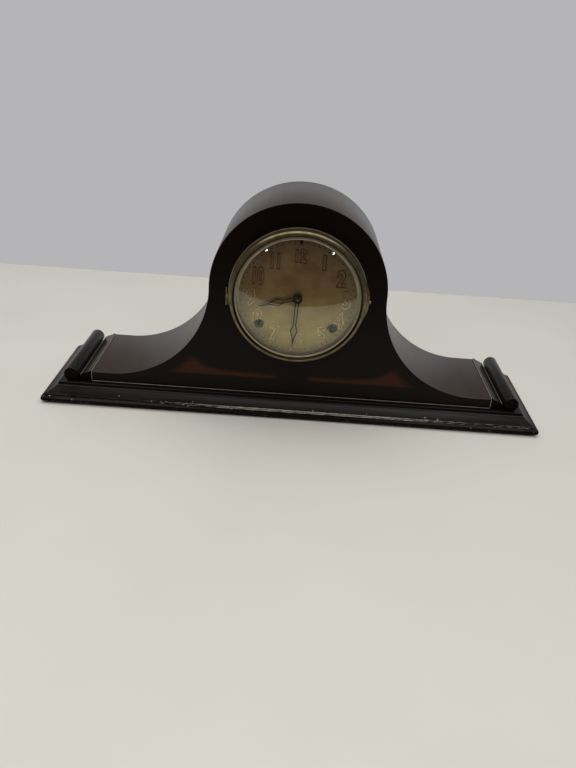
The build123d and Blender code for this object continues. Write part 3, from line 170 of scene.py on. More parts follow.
bm = bmesh.new()
bmesh.ops.create_grid(bm, x_segments=1, y_segments=1, size=1.0)
bmesh.ops.scale(bm, vec=(TABLE_HALF_LENGTH, (TABLE_BACK - TABLE_FRONT) / 2, 1), verts=bm.verts)
bmesh.ops.translate(bm, vec=(0, (TABLE_BACK + TABLE_FRONT) / 2, 0), verts=bm.verts)
table_mesh = bpy.data.meshes.new("table")
bm.to_mesh(table_mesh)
bm.free()
table = bpy.data.objects.new("table", table_mesh)
table_mesh.materials.append(table_top)
scene.collection.objects.link(table)

room = bpy.data.worlds.new("room")
room.use_nodes = True
scene.world = room
tree = room.node_tree
tree.nodes.clear()
direction = parts(tree, tree.nodes.new("ShaderNodeTexCoord").outputs["Generated"])
towards_wall = ramp(tree, direction["Y"], *WALL_BEGINS, interpolation_type="SMOOTHSTEP")
around = blend(tree, towards_wall, DARK_ROOM_COLOUR, WALL_COLOUR)
strength = ramp(tree, direction["Z"], *LOW_WALL_ENDS, LOW_WALL_STRENGTH, ROOM_STRENGTH)
light = add(tree, "ShaderNodeBackground", {"Color": around, "Strength": strength})
wall = add(tree, "ShaderNodeBackground", {"Color": linear(WALL_COLOUR), "Strength": 1.0})
ray = tree.nodes.new("ShaderNodeLightPath")
seen = add(tree, "ShaderNodeMixShader", {0: ray.outputs["Is Camera Ray"], 1: light.outputs[0],
                                         2: wall.outputs[0]})
add(tree, "ShaderNodeOutputWorld", {"Surface": seen.outputs[0]})

lamp = bpy.data.objects.new("ceiling_lamp", bpy.data.lights.new("ceiling_lamp", "AREA"))
lamp.data.size = LAMP_SIZE
lamp.data.energy = LAMP_POWER
lamp.location = LAMP_PLACE
scene.collection.objects.link(lamp)
for spot in FAR_LAMP_PLACES:
    lamp = bpy.data.objects.new("far_lamp", bpy.data.lights.new("far_lamp", "POINT"))
    lamp.data.shadow_soft_size = FAR_LAMP_RADIUS
    lamp.data.energy = FAR_LAMP_POWER
    lamp.location = spot
    scene.collection.objects.link(lamp)


# The plinth is one machined length of hardwood, ebonised and lacquered, mitred at the front corners.
# A bold nose overhangs a shallow rebate at the foot, and above it run a shallow cove and a fillet
# that the case sits inside.
MM = 0.001
FOOT_INSET = 9.0 * MM
FOOT_HEIGHT = 1.8 * MM
NOSE_FOOT_INSET = 1.9 * MM
NOSE_HEIGHT = 5.0 * MM
NOSE_TOP = 10.4 * MM
NOSE_TOP_INSET = 4.5 * MM
NOSE_STEPS = 12
COVE_TOP = 17.4 * MM
COVE_SAG = 0.6 * MM
COVE_STEPS = 8
FILLET_FOOT = 15.8 * MM
MOULDING_INSET = 16.6 * MM
ARRIS = 0.7 * MM
BEVEL_SEGMENTS = 3
CREASE = radians(32)
SEAM = 1e-6
plinth_low, plinth_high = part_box("base_plinth")


def arc(start, middle, end, steps):
    """Points on the circle through three points, from after the start to the end."""
    (ax, ay), (bx, by), (cx, cy) = start, middle, end
    twice = 2 * (ax * (by - cy) + bx * (cy - ay) + cx * (ay - by))
    squares = ax * ax + ay * ay, bx * bx + by * by, cx * cx + cy * cy
    ox = (squares[0] * (by - cy) + squares[1] * (cy - ay) + squares[2] * (ay - by)) / twice
    oy = (squares[0] * (cx - bx) + squares[1] * (ax - cx) + squares[2] * (bx - ax)) / twice
    radius = hypot(ax - ox, ay - oy)
    first, through, last = (atan2(y - oy, x - ox) for x, y in (start, middle, end))
    turn = (last - first) % (2 * pi)
    if (through - first) % (2 * pi) > turn:
        turn -= 2 * pi
    angles = [first + turn * i / steps for i in range(1, steps + 1)]
    return [(ox + radius * cos(angle), oy + radius * sin(angle)) for angle in angles]


def extruded(bm, faces, shift):
    """Extrude faces by a shift and give the new faces."""
    made = bmesh.ops.extrude_face_region(bm, geom=faces)["geom"]
    bmesh.ops.translate(bm, vec=shift, verts=[g for g in made if isinstance(g, bmesh.types.BMVert)])
    return [g for g in made if isinstance(g, bmesh.types.BMFace)]


def soften(bm, width, angle=30, wanted=lambda edge: True):
    """Round the edges that are wanted and sharper than an angle."""
    bmesh.ops.recalc_face_normals(bm, faces=bm.faces)
    edges = [e for e in bm.edges if len(e.link_faces) == 2
             and e.calc_face_angle() > radians(angle) and wanted(e)]
    bmesh.ops.bevel(bm, geom=edges, offset=width, offset_type="OFFSET", affect="EDGES",
                    segments=BEVEL_SEGMENTS, profile=0.5, material=-1)


def piece(name, bm, finish):
    """Make a bmesh a smooth object at the origin, with seams closed and faces outwards."""
    bmesh.ops.remove_doubles(bm, verts=bm.verts, dist=SEAM)
    bmesh.ops.recalc_face_normals(bm, faces=bm.faces)
    mesh = bpy.data.meshes.new(name)
    bm.to_mesh(mesh)
    bm.free()
    mesh.shade_smooth()
    mesh.set_sharp_from_angle(angle=CREASE)
    mesh.materials.append(finish)
    made = bpy.data.objects.new(name, mesh)
    scene.collection.objects.link(made)
    return made


def stretched(tree, vector, scale):
    """A vector scaled, so that what follows it runs long in one direction."""
    return add(tree, "ShaderNodeMapping", {"Vector": vector, "Scale": scale}).outputs[0]


def coat(tree, shader, colour, factor, smooth, rough):
    """Give a material its colour, and a roughness that goes from smooth to rough with a factor."""
    tree.links.new(colour, shader.inputs["Base Color"])
    tree.links.new(ramp(tree, factor, 0.0, 1.0, smooth, rough), shader.inputs["Roughness"])


# Ebonised lacquer: near black with brown in it, streaked along the length, with a satin gloss.
# A grey sheen is painted along the cove, a painted reflection of the room; scuffs and small knocks
# show pale on the nose, and whatever faces forwards or down has lost its polish. Each pair of places
# below is where a mark begins and is full, and a third value is the strength that it keeps outside.
LONG_STREAK, STREAK = (0.05, 1.0, 1.0), 3 * MM
LONG_SCRATCH, SCRATCH = (0.12, 1.0, 1.0), 0.7 * MM
SCUFF_ABOVE = 8.6 * MM, 9.2 * MM
SCUFF_BELOW = 10.9 * MM, 10.4 * MM
SCUFF_FORWARD = -63.0 * MM, -64.5 * MM
SCUFF_FROM_LEFT = -190 * MM, -40 * MM, 0.66
SCUFF_FROM_RIGHT = 220 * MM, 70 * MM, 0.76
SCUFF_BITE = 0.4, 0.52
KNOCK_SPACING = 8 * MM
KNOCK_RAGS, KNOCK_RAGGED = 0.8 * MM, -0.14
KNOCK_SIZE = 0.04, 0.0
KNOCK_BELOW = 12.5 * MM, 11.5 * MM
FRONT_PART = -52 * MM
COVE_SHEEN_ABOVE = 9.5 * MM, 15.0 * MM
COVE_SHEEN_BELOW = 17.0 * MM, 15.6 * MM
COVE_SHEEN_FROM_LEFT = -230 * MM, -20 * MM, 0.2
COVE_SHEEN_FROM_RIGHT = 280 * MM, 130 * MM, 0.15
COVE_SHEEN_BY_STREAK = 0.3, 0.6, 0.55
POLISH_BY_SLOPE = 0.1, 0.5, 0.12, 0.5
POLISH_AT_ENDS = 266.0 * MM, 268.5 * MM, 1.0, 0.55
ebonised, tree, shader, place = new_finish("ebonised_lacquer", IOR=1.28)
x, y, z = parts(tree, place)
streak = noise(tree, stretched(tree, place, LONG_STREAK), STREAK, 4.0)
body = blend(tree, streak, "#080605", "#120d0a")
where = product(tree, ramp(tree, z, *SCUFF_ABOVE), ramp(tree, z, *SCUFF_BELOW),
                ramp(tree, y, *SCUFF_FORWARD), ramp(tree, x, *SCUFF_FROM_LEFT),
                ramp(tree, x, *SCUFF_FROM_RIGHT))
scratch = noise(tree, stretched(tree, place, LONG_SCRATCH), SCRATCH, 6.0, 0.75)
scuff = ramp(tree, product(tree, scratch, where), *SCUFF_BITE)
in_front = reckon(tree, "LESS_THAN", y, FRONT_PART)
knock = add(tree, "ShaderNodeTexVoronoi", {"Vector": place, "Scale": 1 / KNOCK_SPACING})
ragged = noise(tree, place, KNOCK_RAGS, 2.0)
spread = reckon(tree, "MULTIPLY_ADD", ragged, KNOCK_RAGGED, knock.outputs["Distance"])
chip = product(tree, ramp(tree, spread, *KNOCK_SIZE), ramp(tree, z, *KNOCK_BELOW), in_front)
# A grey sheen painted along the cove: a painted reflection of the room, not dust.
dust_and_sheen = product(tree, ramp(tree, streak, *COVE_SHEEN_BY_STREAK), ramp(tree, z, *COVE_SHEEN_ABOVE),
               ramp(tree, z, *COVE_SHEEN_BELOW), ramp(tree, x, *COVE_SHEEN_FROM_LEFT),
               ramp(tree, x, *COVE_SHEEN_FROM_RIGHT), in_front)
cove_sheened = blend(tree, dust_and_sheen, body, "#4a4948")
marked = blend(tree, reckon(tree, "MAXIMUM", scuff, chip), cove_sheened, "#bdb6aa")
coat(tree, shader, marked, streak, 0.24, 0.36)
normal = tree.nodes.new("ShaderNodeNewGeometry").outputs["Normal"]
polish = product(tree, ramp(tree, parts(tree, normal)["Z"], *POLISH_BY_SLOPE),
                 ramp(tree, reckon(tree, "ABSOLUTE", x), *POLISH_AT_ENDS))
tree.links.new(polish, shader.inputs["Specular IOR Level"])

profile = [(FOOT_INSET, 0.0), (FOOT_INSET, FOOT_HEIGHT), (NOSE_FOOT_INSET, FOOT_HEIGHT)]
profile += arc(profile[-1], (0.0, NOSE_HEIGHT), (NOSE_TOP_INSET, NOSE_TOP), NOSE_STEPS)
cove_middle = ((NOSE_TOP_INSET + FILLET_FOOT) / 2, (NOSE_TOP + COVE_TOP) / 2 - COVE_SAG)
profile += arc(profile[-1], cove_middle, (FILLET_FOOT, COVE_TOP), COVE_STEPS)
profile += [(MOULDING_INSET, plinth_high.z)]


def plinth_corner(across, deep, inset, height):
    """A corner of the plinth's outline, drawn in at the front and both ends."""
    y = plinth_low.y + inset if deep < 0 else plinth_high.y
    return Vector((across * (plinth_high.x - inset), y, height))


bm = bmesh.new()
corners = ((-1, -1), (1, -1), (1, 1), (-1, 1))
ring = [bm.verts.new(plinth_corner(across, deep, *profile[0])) for across, deep in corners]
top = bm.faces.new(ring)
for inset, height in profile[1:]:
    top = extruded(bm, [top], (0, 0, 0))[0]
    for vertex in top.verts:
        across, deep = (1 if vertex.co.x > 0 else -1), (1 if vertex.co.y > 0 else -1)
        vertex.co = plinth_corner(across, deep, inset, height)
soften(bm, ARRIS, wanted=lambda edge: edge.is_convex)
plinth = piece("base_plinth_moulded", bm, ebonised)
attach(plinth, "case")
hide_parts("base_plinth")


# The wrap is a thin bent sheet of walnut glued over the humpback front and back boards.
# Its satin lacquer mirrors the pale room, and its front arris shows as a thin bright line.
WRAP = 4.0 * MM
WRAP_ARRIS = 0.7 * MM
SQUARE_ANGLE = 60
FACES_UP = 1e-4
DOME_RADIUS = 96.3 * MM
TOE_LENGTH = 22.0 * MM
DOME_STEPS = 96
SHOULDER_STEPS = 56
wrap_low, wrap_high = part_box("top_wrap")
case_end = wrap_high.x
shoulder_x = case_end - TOE_LENGTH
dome_z = wrap_high.z - DOME_RADIUS
shoulder_radius = shoulder_x - DOME_RADIUS
toe_z = dome_z - shoulder_radius


def humpback(bm, inset, y):
    """Draw the case's outline at a depth, drawn in by an inset, and give its edges."""
    before = set(bm.edges)
    vertex = bm.verts.new((-case_end, y, toe_z - inset))
    run = bmesh.ops.extrude_vert_indiv(bm, verts=[vertex])
    vertex = run["verts"][0]
    vertex.co.x = -shoulder_x
    for x, turn, steps in ((-shoulder_x, -pi / 2, SHOULDER_STEPS), (0, pi, DOME_STEPS),
                           (shoulder_x, -pi / 2, SHOULDER_STEPS)):
        spun = bmesh.ops.spin(bm, geom=[vertex], cent=(x, y, dome_z), axis=(0, 1, 0), angle=turn,
                              steps=steps)
        vertex = next(g for g in spun["geom_last"] if isinstance(g, bmesh.types.BMVert))
    run = bmesh.ops.extrude_vert_indiv(bm, verts=[vertex])
    run["verts"][0].co.x = case_end
    return [e for e in bm.edges if e not in before]


# Walnut wrap lacquer: grey-brown satin, broad faint streaks along the bend, a little dust.
WRAP_RUN, WRAP_STREAK = (1.0, 0.08, 1.0), 9 * MM
WRAP_SPECK = 2.2 * MM
WRAP_DUST = 0.72, 0.78, 0.0, 0.5
wrapped, tree, shader, place = new_finish("walnut_wrap_lacquer", IOR=1.34)
streak = noise(tree, stretched(tree, place, WRAP_RUN), WRAP_STREAK, 5.0)
body = blend(tree, streak, "#1c120c", "#38291f")
dust_and_sheen = ramp(tree, noise(tree, place, WRAP_SPECK, 2.0), *WRAP_DUST)
coat(tree, shader, blend(tree, dust_and_sheen, body, "#8d867c"), streak, 0.28, 0.36)

bm = bmesh.new()
bmesh.ops.bridge_loops(bm, edges=humpback(bm, 0, wrap_low.y) + humpback(bm, WRAP, wrap_low.y))
extruded(bm, bm.faces[:], (0, wrap_high.y - wrap_low.y, 0))
soften(bm, WRAP_ARRIS, SQUARE_ANGLE, lambda edge: abs(edge.verts[0].co.y - edge.verts[1].co.y) < MM
       and max(face.normal.z for face in edge.link_faces) > FACES_UP)
wrap = piece("top_wrap_bent", bm, wrapped)
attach(wrap, "case")
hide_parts("top_wrap")


# The front board is the same humpback shape in veneered ply, with a round opening for the dial.
# Its dark toner is sprayed over the edges and round the dial, and leaves red walnut low down.
DIAL_OPENING = 64.5 * MM
OPENING_SEGMENTS = 128
board_low, board_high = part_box("front_board")
dial_z = sum(corner.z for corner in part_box("dial_plate")) / 2


def circle(bm, x, z, radius, y, segments):
    """Draw a circle on the front."""
    bmesh.ops.create_circle(bm, segments=segments, radius=radius,
                            matrix=Matrix.Translation((x, y, z)) @ Matrix.Rotation(pi / 2, 4, "X"))


def distance(tree, vector, point):
    """How far a vector is from a point."""
    return add(tree, "ShaderNodeVectorMath", {0: vector, 1: point},
               operation="DISTANCE").outputs["Value"]


# Toned veneer: black-brown all over but for two long red-brown patches under the dial. The toner
# round the dial is a flattened disc, and its edge along the shoulders keeps the shoulders' curve.
VENEER_RUN, VENEER_GRAIN = (0.05, 1.0, 1.0), 2.2 * MM
FLAT = (1.0, 0.0, 1.0)
TONER_HALF_WIDTH = 120.0 * MM
TONER_HALF_HEIGHT = 95.0 * MM
TONER_FADE = 0.92, 1.22
TONER_FOOT = 38.5 * MM, 41.5 * MM
TONER_SHOULDER = 122.0 * MM, 132.0 * MM
TONER_MIDDLE = 16 * MM, 24 * MM
TONER_TOP = 90 * MM, 60 * MM
veneer, tree, shader, place = new_finish("toned_walnut_veneer", IOR=1.22)
x, _, z = parts(tree, place)
grain = noise(tree, stretched(tree, place, VENEER_RUN), VENEER_GRAIN, 6.0, 0.6)
dark = blend(tree, grain, "#0b0505", "#180c08")
red = blend(tree, grain, "#2f190c", "#4c2710")
disc = add(tree, "ShaderNodeMapping",
           {"Vector": place, "Location": (0, 0, -dial_z / TONER_HALF_HEIGHT),
            "Scale": (1 / TONER_HALF_WIDTH, 0.0, 1 / TONER_HALF_HEIGHT)}).outputs[0]
square = add(tree, "ShaderNodeVectorMath", {0: disc, 1: disc}, operation="MULTIPLY").outputs[0]
fourth = add(tree, "ShaderNodeVectorMath", {0: square, 1: square}, operation="MULTIPLY").outputs[0]
reach = add(tree, "ShaderNodeVectorMath", {0: fourth, 1: square}, operation="DOT_PRODUCT")
bare = product(tree, ramp(tree, reach.outputs["Value"], *TONER_FADE), ramp(tree, z, *TONER_FOOT))
for side in (-1, 1):
    clear = distance(tree, stretched(tree, place, FLAT), (side * shoulder_x, 0, dome_z))
    bare = product(tree, bare, ramp(tree, clear, *TONER_SHOULDER))
bare = product(tree, bare, ramp(tree, z, *TONER_TOP),
               ramp(tree, reckon(tree, "ABSOLUTE", x), *TONER_MIDDLE))
coat(tree, shader, blend(tree, bare, dark, red), grain, 0.32, 0.42)


def humpback_board(low, high, opening):
    """A board that fills the wrap between two depths, with an opening drawn through it."""
    bm = bmesh.new()
    humpback(bm, WRAP, low.y)
    ends = [v for v in bm.verts if len(v.link_edges) == 1]
    feet = bmesh.ops.extrude_vert_indiv(bm, verts=ends)["verts"]
    for foot in feet:
        foot.co.z = low.z
    bm.edges.new(feet)
    opening(bm)
    bmesh.ops.triangle_fill(bm, use_beauty=True, use_dissolve=False, edges=bm.edges[:],
                            normal=(0, -1, 0))
    extruded(bm, bm.faces[:], (0, high.y - low.y, 0))
    return bm


bm = humpback_board(board_low, board_high,
                    lambda bm: circle(bm, 0, dial_z, DIAL_OPENING, board_low.y, OPENING_SEGMENTS))
board = piece("front_board_veneered", bm, veneer)
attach(board, "case")
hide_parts("front_board")

# The toner is sprayed over the wrap's front edge too.
FACES_FRONT = -0.9
wrap.data.materials.append(veneer)
for face in wrap.data.polygons:
    if face.normal.y < FACES_FRONT:
        face.material_index = 1


# The end mouldings are short bars of the same ebonised wood, glued to each end of the case.
# A bead and then a gentle slope step the flat toe down to the roll across the end of the plinth.
BEAD = 2.6 * MM
BEAD_ROUND = 0.45 * MM
BEAD_ANGLE = 40
TIP_HEIGHT = 6.6 * MM
TIP_ROUND = 1.3 * MM
SLOPE_RISE = 0.15 * MM
SLOPE_STEPS = 8
EDGE_FACET = 0.9 * MM
FACES_SIDE = 0.2


def mottled(name, size, detail, first, last, smooth, rough, **constants):
    """A material whose colour and gloss drift together, in clouds of a size."""
    made, tree, shader, place = new_finish(name, **constants)
    cloud = noise(tree, place, size, detail)
    coat(tree, shader, blend(tree, cloud, first, last), cloud, smooth, rough)
    return made


def along_tip(edge):
    """Whether an edge runs along the upper outer corner of the moulding in hand."""
    return (abs(edge.verts[0].co.y - edge.verts[1].co.y) > EDGE_FACET
            and all(abs(abs(v.co.x) - tip) < EDGE_FACET and v.co.z > low.z + TIP_HEIGHT / 2
                    for v in edge.verts))


# Painted highlight edge: a pale grey-brown, a little polished, painted on arrises as the bright lines
# their glossy lacquer catches.
painted_highlight_edge = mottled("painted_highlight_edge", 4 * MM, 4.0, "#71675d", "#c2b9ae", 0.3, 0.45, IOR=1.4)

for side, end in ((-1, "left"), (1, "right")):
    low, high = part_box("end_moulding_" + end)
    start, tip = case_end, case_end + high.x - low.x
    bead_end = start + BEAD
    slope_middle = ((bead_end + tip) / 2, (toe_z + low.z + TIP_HEIGHT) / 2 + SLOPE_RISE)
    outline = [(start, low.z), (tip, low.z), (tip, low.z + TIP_HEIGHT)]
    outline += arc(outline[-1], slope_middle, (bead_end, toe_z), SLOPE_STEPS)
    outline += [(bead_end, high.z), (start, high.z)]
    bm = bmesh.new()
    extruded(bm, [bm.faces.new([bm.verts.new((side * x, low.y, z)) for x, z in outline])],
             (0, high.y - low.y, 0))
    soften(bm, TIP_ROUND, wanted=along_tip)
    soften(bm, BEAD_ROUND, BEAD_ANGLE)
    # The narrow facets along the arrises take the painted highlight.
    for face in bm.faces:
        if face.calc_area() < EDGE_FACET * (high.y - low.y) and abs(face.normal.y) < FACES_SIDE:
            face.material_index = 1
    moulding = piece("end_moulding_" + end + "_shaped", bm, ebonised)
    moulding.data.materials.append(painted_highlight_edge)
    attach(moulding, "case")
    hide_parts("end_moulding_" + end)

# The plinth's top arris at both ends gets the same painted highlight.
FACES_END = 0.25
plinth.data.materials.append(painted_highlight_edge)
for face in plinth.data.polygons:
    if face.center.z > plinth_high.z - ARRIS and abs(face.normal.x) > FACES_END:
        face.material_index = 1


# The joint lines are thin beads of lacquer that gathered along the foot of the front board and at
# the two ends of the case, where the boards meet the plinth and the end mouldings. Their pale colour
# is partly the lacquer and partly a painted highlight, the bright line that each joint catches.
JOINT_BEAD = 0.7 * MM
JOINT_ROUND = JOINT_BEAD * 0.3
END_LINE = 0.55 * MM
end_height, end_middle = toe_z - board_low.z, (board_low.z + toe_z) / 2
bm = bmesh.new()
for x, z, length, height in ((0, board_low.z + JOINT_BEAD / 2, 2 * case_end, JOINT_BEAD),
                             (-case_end, end_middle, END_LINE, end_height),
                             (case_end, end_middle, END_LINE, end_height)):
    bmesh.ops.create_cube(bm, size=1.0, matrix=Matrix.Translation((x, board_low.y, z))
                          @ Matrix.Diagonal((length, JOINT_BEAD, height, 1)))
soften(bm, JOINT_ROUND)
joints = piece("lacquer_joint_lines", bm, painted_highlight_edge)
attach(joints, "case")


# The rolls are turned dowels with a flat planed underneath, ebonised like the plinth.
# One is glued across each end of the plinth, from front to back beside the end moulding.
ROLL_ROUND = 0.8 * MM
ROLL_LONGER = 4.0 * MM
ROLL_SEGMENTS = 64
for end in ("left", "right"):
    low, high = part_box("end_roll_" + end)
    high.y += ROLL_LONGER
    radius = (high.x - low.x) / 2
    middle = Vector(((low.x + high.x) / 2, (low.y + high.y) / 2, high.z - radius))
    bm = bmesh.new()
    bmesh.ops.create_cone(bm, cap_ends=True, segments=ROLL_SEGMENTS, radius1=radius, radius2=radius,
                          depth=high.y - low.y,
                          matrix=Matrix.Translation(middle) @ Matrix.Rotation(pi / 2, 4, "X"))
    cut = bmesh.ops.bisect_plane(bm, geom=bm.verts[:] + bm.edges[:] + bm.faces[:],
                                 plane_co=(0, 0, low.z), plane_no=(0, 0, 1), clear_inner=True)
    bmesh.ops.holes_fill(bm, edges=[g for g in cut["geom_cut"] if isinstance(g, bmesh.types.BMEdge)])
    soften(bm, ROLL_ROUND, SQUARE_ANGLE)
    roll = piece("end_roll_" + end + "_turned", bm, ebonised)
    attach(roll, "case")
    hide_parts("end_roll_" + end)


# The back board is plain stained ply, flush inside the wrap, with an arched doorway to the movement.
# The door that fills it is the same board, hung on two small butts, with a turned brass knob.
DOOR_GAP = 0.5 * MM
DOOR_ARRIS = 0.8 * MM
ARCH_STEPS = 48
back_low, back_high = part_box("back_board")
door_low, door_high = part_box("back_door")

# Stained ply: dull red-brown, close straight grain, hardly any gloss.
PLY_RUN, PLY_GRAIN, PLY_FIGURE = (0.06, 1.0, 1.0), 1.6 * MM, 7 * MM
PLY_BANDS = 0.36, 0.64
stained, tree, shader, place = new_finish("stained_ply", IOR=1.4)
grain_run = stretched(tree, place, PLY_RUN)
grain = noise(tree, grain_run, PLY_GRAIN, 6.0, 0.65)
figure = noise(tree, grain_run, PLY_FIGURE, 3.0)
mixed = add(tree, "ShaderNodeMix", {0: 0.5, 2: grain, 3: figure}).outputs[0]
body = blend(tree, ramp(tree, mixed, *PLY_BANDS), "#22140d", "#513322")
coat(tree, shader, body, grain, 0.5, 0.7)


def arch(bm, low, high, y):
    """Draw an arched outline, a half round over straight sides, and give its edges."""
    before = set(bm.edges)
    radius = (high.x - low.x) / 2
    middle, springing = (low.x + high.x) / 2, high.z - radius
    first = bm.verts.new((low.x, y, springing))
    spun = bmesh.ops.spin(bm, geom=[first], cent=(middle, y, springing), axis=(0, 1, 0), angle=pi,
                          steps=ARCH_STEPS)
    last = next(g for g in spun["geom_last"] if isinstance(g, bmesh.types.BMVert))
    feet = bmesh.ops.extrude_vert_indiv(bm, verts=[first, last])["verts"]
    for foot in feet:
        foot.co.z = low.z
    bm.edges.new(feet)
    return [e for e in bm.edges if e not in before]


gap = Vector((DOOR_GAP, 0, DOOR_GAP))
bm = humpback_board(back_low, back_high,
                    lambda bm: arch(bm, door_low - gap, door_high + gap, back_low.y))
back = piece("back_board_cut", bm, stained)
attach(back, "case")
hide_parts("back_board")

bm = bmesh.new()
leaf = bmesh.ops.contextual_create(bm, geom=arch(bm, door_low, door_high, door_low.y))["faces"]
extruded(bm, leaf, (0, door_high.y - door_low.y, 0))
soften(bm, DOOR_ARRIS, SQUARE_ANGLE)
door = piece("back_door_arched", bm, stained)
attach(door, "door")
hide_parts("back_door")


# The brass furniture is stamped and turned sheet: the pan behind the dial and its screws, the
# bezel's hinge, and the butts and knob of the back door. It is pinned or soldered on, and long
# unpolished.
TARNISH_CLOUD = 9 * MM
TARNISH_SPREAD = 0.35, 0.65


def dress(finish, *nodes):
    """Give CAD nodes a finish."""
    for name in nodes:
        materials = frame["nodes"][name].data.materials
        materials.clear()
        materials.append(finish)


def tarnished(tree, place):
    """How far brass has browned, in uneven clouds."""
    return ramp(tree, noise(tree, place, TARNISH_CLOUD, 6.0, 0.65), *TARNISH_SPREAD)


# Aged brass: olive gold, clouded with brown tarnish, half bright where hands have rubbed it.
aged_brass, tree, shader, place = new_finish("aged_brass", Metallic=1.0)
tarnish = tarnished(tree, place)
coat(tree, shader, blend(tree, tarnish, "#94896a", "#6c6149"), tarnish, 0.26, 0.42)
dress(aged_brass, "dial_screws", "bezel_hinge", "bezel_hinge_arm", "door_hinges", "door_hinge_leaves",
      "door_knob")

# Pan brass: nearly black in the gap beside the bezel, a painted shade, and pale on its turned edge, a
# painted highlight.
PAN_CLOUD = 7 * MM
PAN_PAINTED_RIM = 74.2 * MM, 74.5 * MM
pan_brass, tree, shader, place = new_finish("pan_brass", Metallic=0.6)
cloud = noise(tree, place, PAN_CLOUD, 4.0)
on_painted_rim = ramp(tree, distance(tree, stretched(tree, place, FLAT), (0, 0, dial_z)), *PAN_PAINTED_RIM)
edge = blend(tree, cloud, "#8d8467", "#d4cbaa")
coat(tree, shader, blend(tree, on_painted_rim, "#1d170d", edge), cloud, 0.3, 0.45)
dress(pan_brass, "dial_pan")


# The dial is a disc of thin gilt brass held in the pan, pierced for the hands and the two keys.
# Its gilding has browned with age, most of all round the rim, and keeps only a soft shine.
WINDING_HOLE = 4.7 * MM
REGULATOR_HOLE = 2.5 * MM
HAND_HOLE = 4.0 * MM
dial_low, dial_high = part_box("dial_plate")
dial_radius = (dial_high.x - dial_low.x) / 2


def centre(node):
    """The middle of a CAD node's box."""
    low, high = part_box(node)
    return (low + high) / 2


# Browned gilt: copper brown above and a soft yellow gold low down, greyer towards the rim. The yellow
# gold low down is a painted reflection of the pale table.
GILT_CLOUD = 26 * MM
GILT_SPREAD = 0.38, 0.64
GILT_PAINTED_REFLECTION = dial_z + 16 * MM, dial_z - 34 * MM
GILT_RIM = 44 * MM, dial_radius, 0.0, 0.7
gilt, tree, shader, place = new_finish("browned_gilt_brass", Metallic=0.85)
browned = ramp(tree, noise(tree, place, GILT_CLOUD, 7.0, 0.6), *GILT_SPREAD)
# Low down the gilt is painted yellow: a painted reflection of the pale table.
painted_table_reflection = ramp(tree, parts(tree, place)["Z"], *GILT_PAINTED_REFLECTION, interpolation_type="SMOOTHSTEP")
brown = blend(tree, browned, "#b4916a", "#97704e")
yellow = blend(tree, browned, "#dcc680", "#c6ac6c")
rim = ramp(tree, distance(tree, place, (0, dial_low.y, dial_z)), *GILT_RIM)
rimmed = blend(tree, rim, blend(tree, painted_table_reflection, brown, yellow), "#857658")
coat(tree, shader, rimmed, browned, 0.42, 0.52)

winding_places = [centre("time_winding_arbor"), centre("strike_winding_arbor")]
middle = Vector((0, 0, dial_z))
bm = bmesh.new()
for spot, radius, segments in ((middle, dial_radius, 160), (middle, HAND_HOLE, 32),
                               *((hole, WINDING_HOLE, 40) for hole in winding_places),
                               (centre("regulator_arbor"), REGULATOR_HOLE, 24)):
    circle(bm, spot.x, spot.z, radius, dial_low.y, segments)
bmesh.ops.triangle_fill(bm, use_beauty=True, use_dissolve=False, edges=bm.edges[:], normal=(0, -1, 0))
extruded(bm, bm.faces[:], (0, dial_high.y - dial_low.y, 0))
dial = piece("dial_plate_pierced", bm, gilt)
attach(dial, "case")
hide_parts("dial_plate")


# The numerals are pressed up from the dial as upright figures, each drawn by a raised rim.
# They are struck from behind with a punch, and the ring of figures sits a little turned.
NUMERAL_REACH = 51.5 * MM
NUMERAL_RISE = 46.8 * MM
NUMERAL_RING = (1.2 * MM, -1.3 * MM)
NUMERAL_SIZE = 18.2 * MM
SIDE_NUMERAL_STRETCH = 0.4
NUMERAL_NARROW = 0.98
PAIR_NARROW = 0.76
NUMERAL_RIM = 0.55 * MM
NUMERAL_BOLD = 0.7 * MM
DIAL_TURN = radians(-1.8)

# Gilt relief: pale bright gold on the lower figures and dark bronze on the upper ones, a painted
# reflection of the pale table below and the dark room above.
RELIEF_CLOUD = 5 * MM
RELIEF_PAINTED_REFLECTION = dial_z + 14 * MM, dial_z - 14 * MM
relief, tree, shader, place = new_finish("gilt_relief_painted_reflection", Metallic=0.92)
cloud = noise(tree, place, RELIEF_CLOUD, 4.0)
painted_table_reflection = ramp(tree, parts(tree, place)["Z"], *RELIEF_PAINTED_REFLECTION)
bright = blend(tree, cloud, "#fff3c4", "#e2d29b")
bronze = blend(tree, cloud, "#6e5236", "#46301e")
coat(tree, shader, blend(tree, painted_table_reflection, bronze, bright), cloud, 0.2, 0.3)

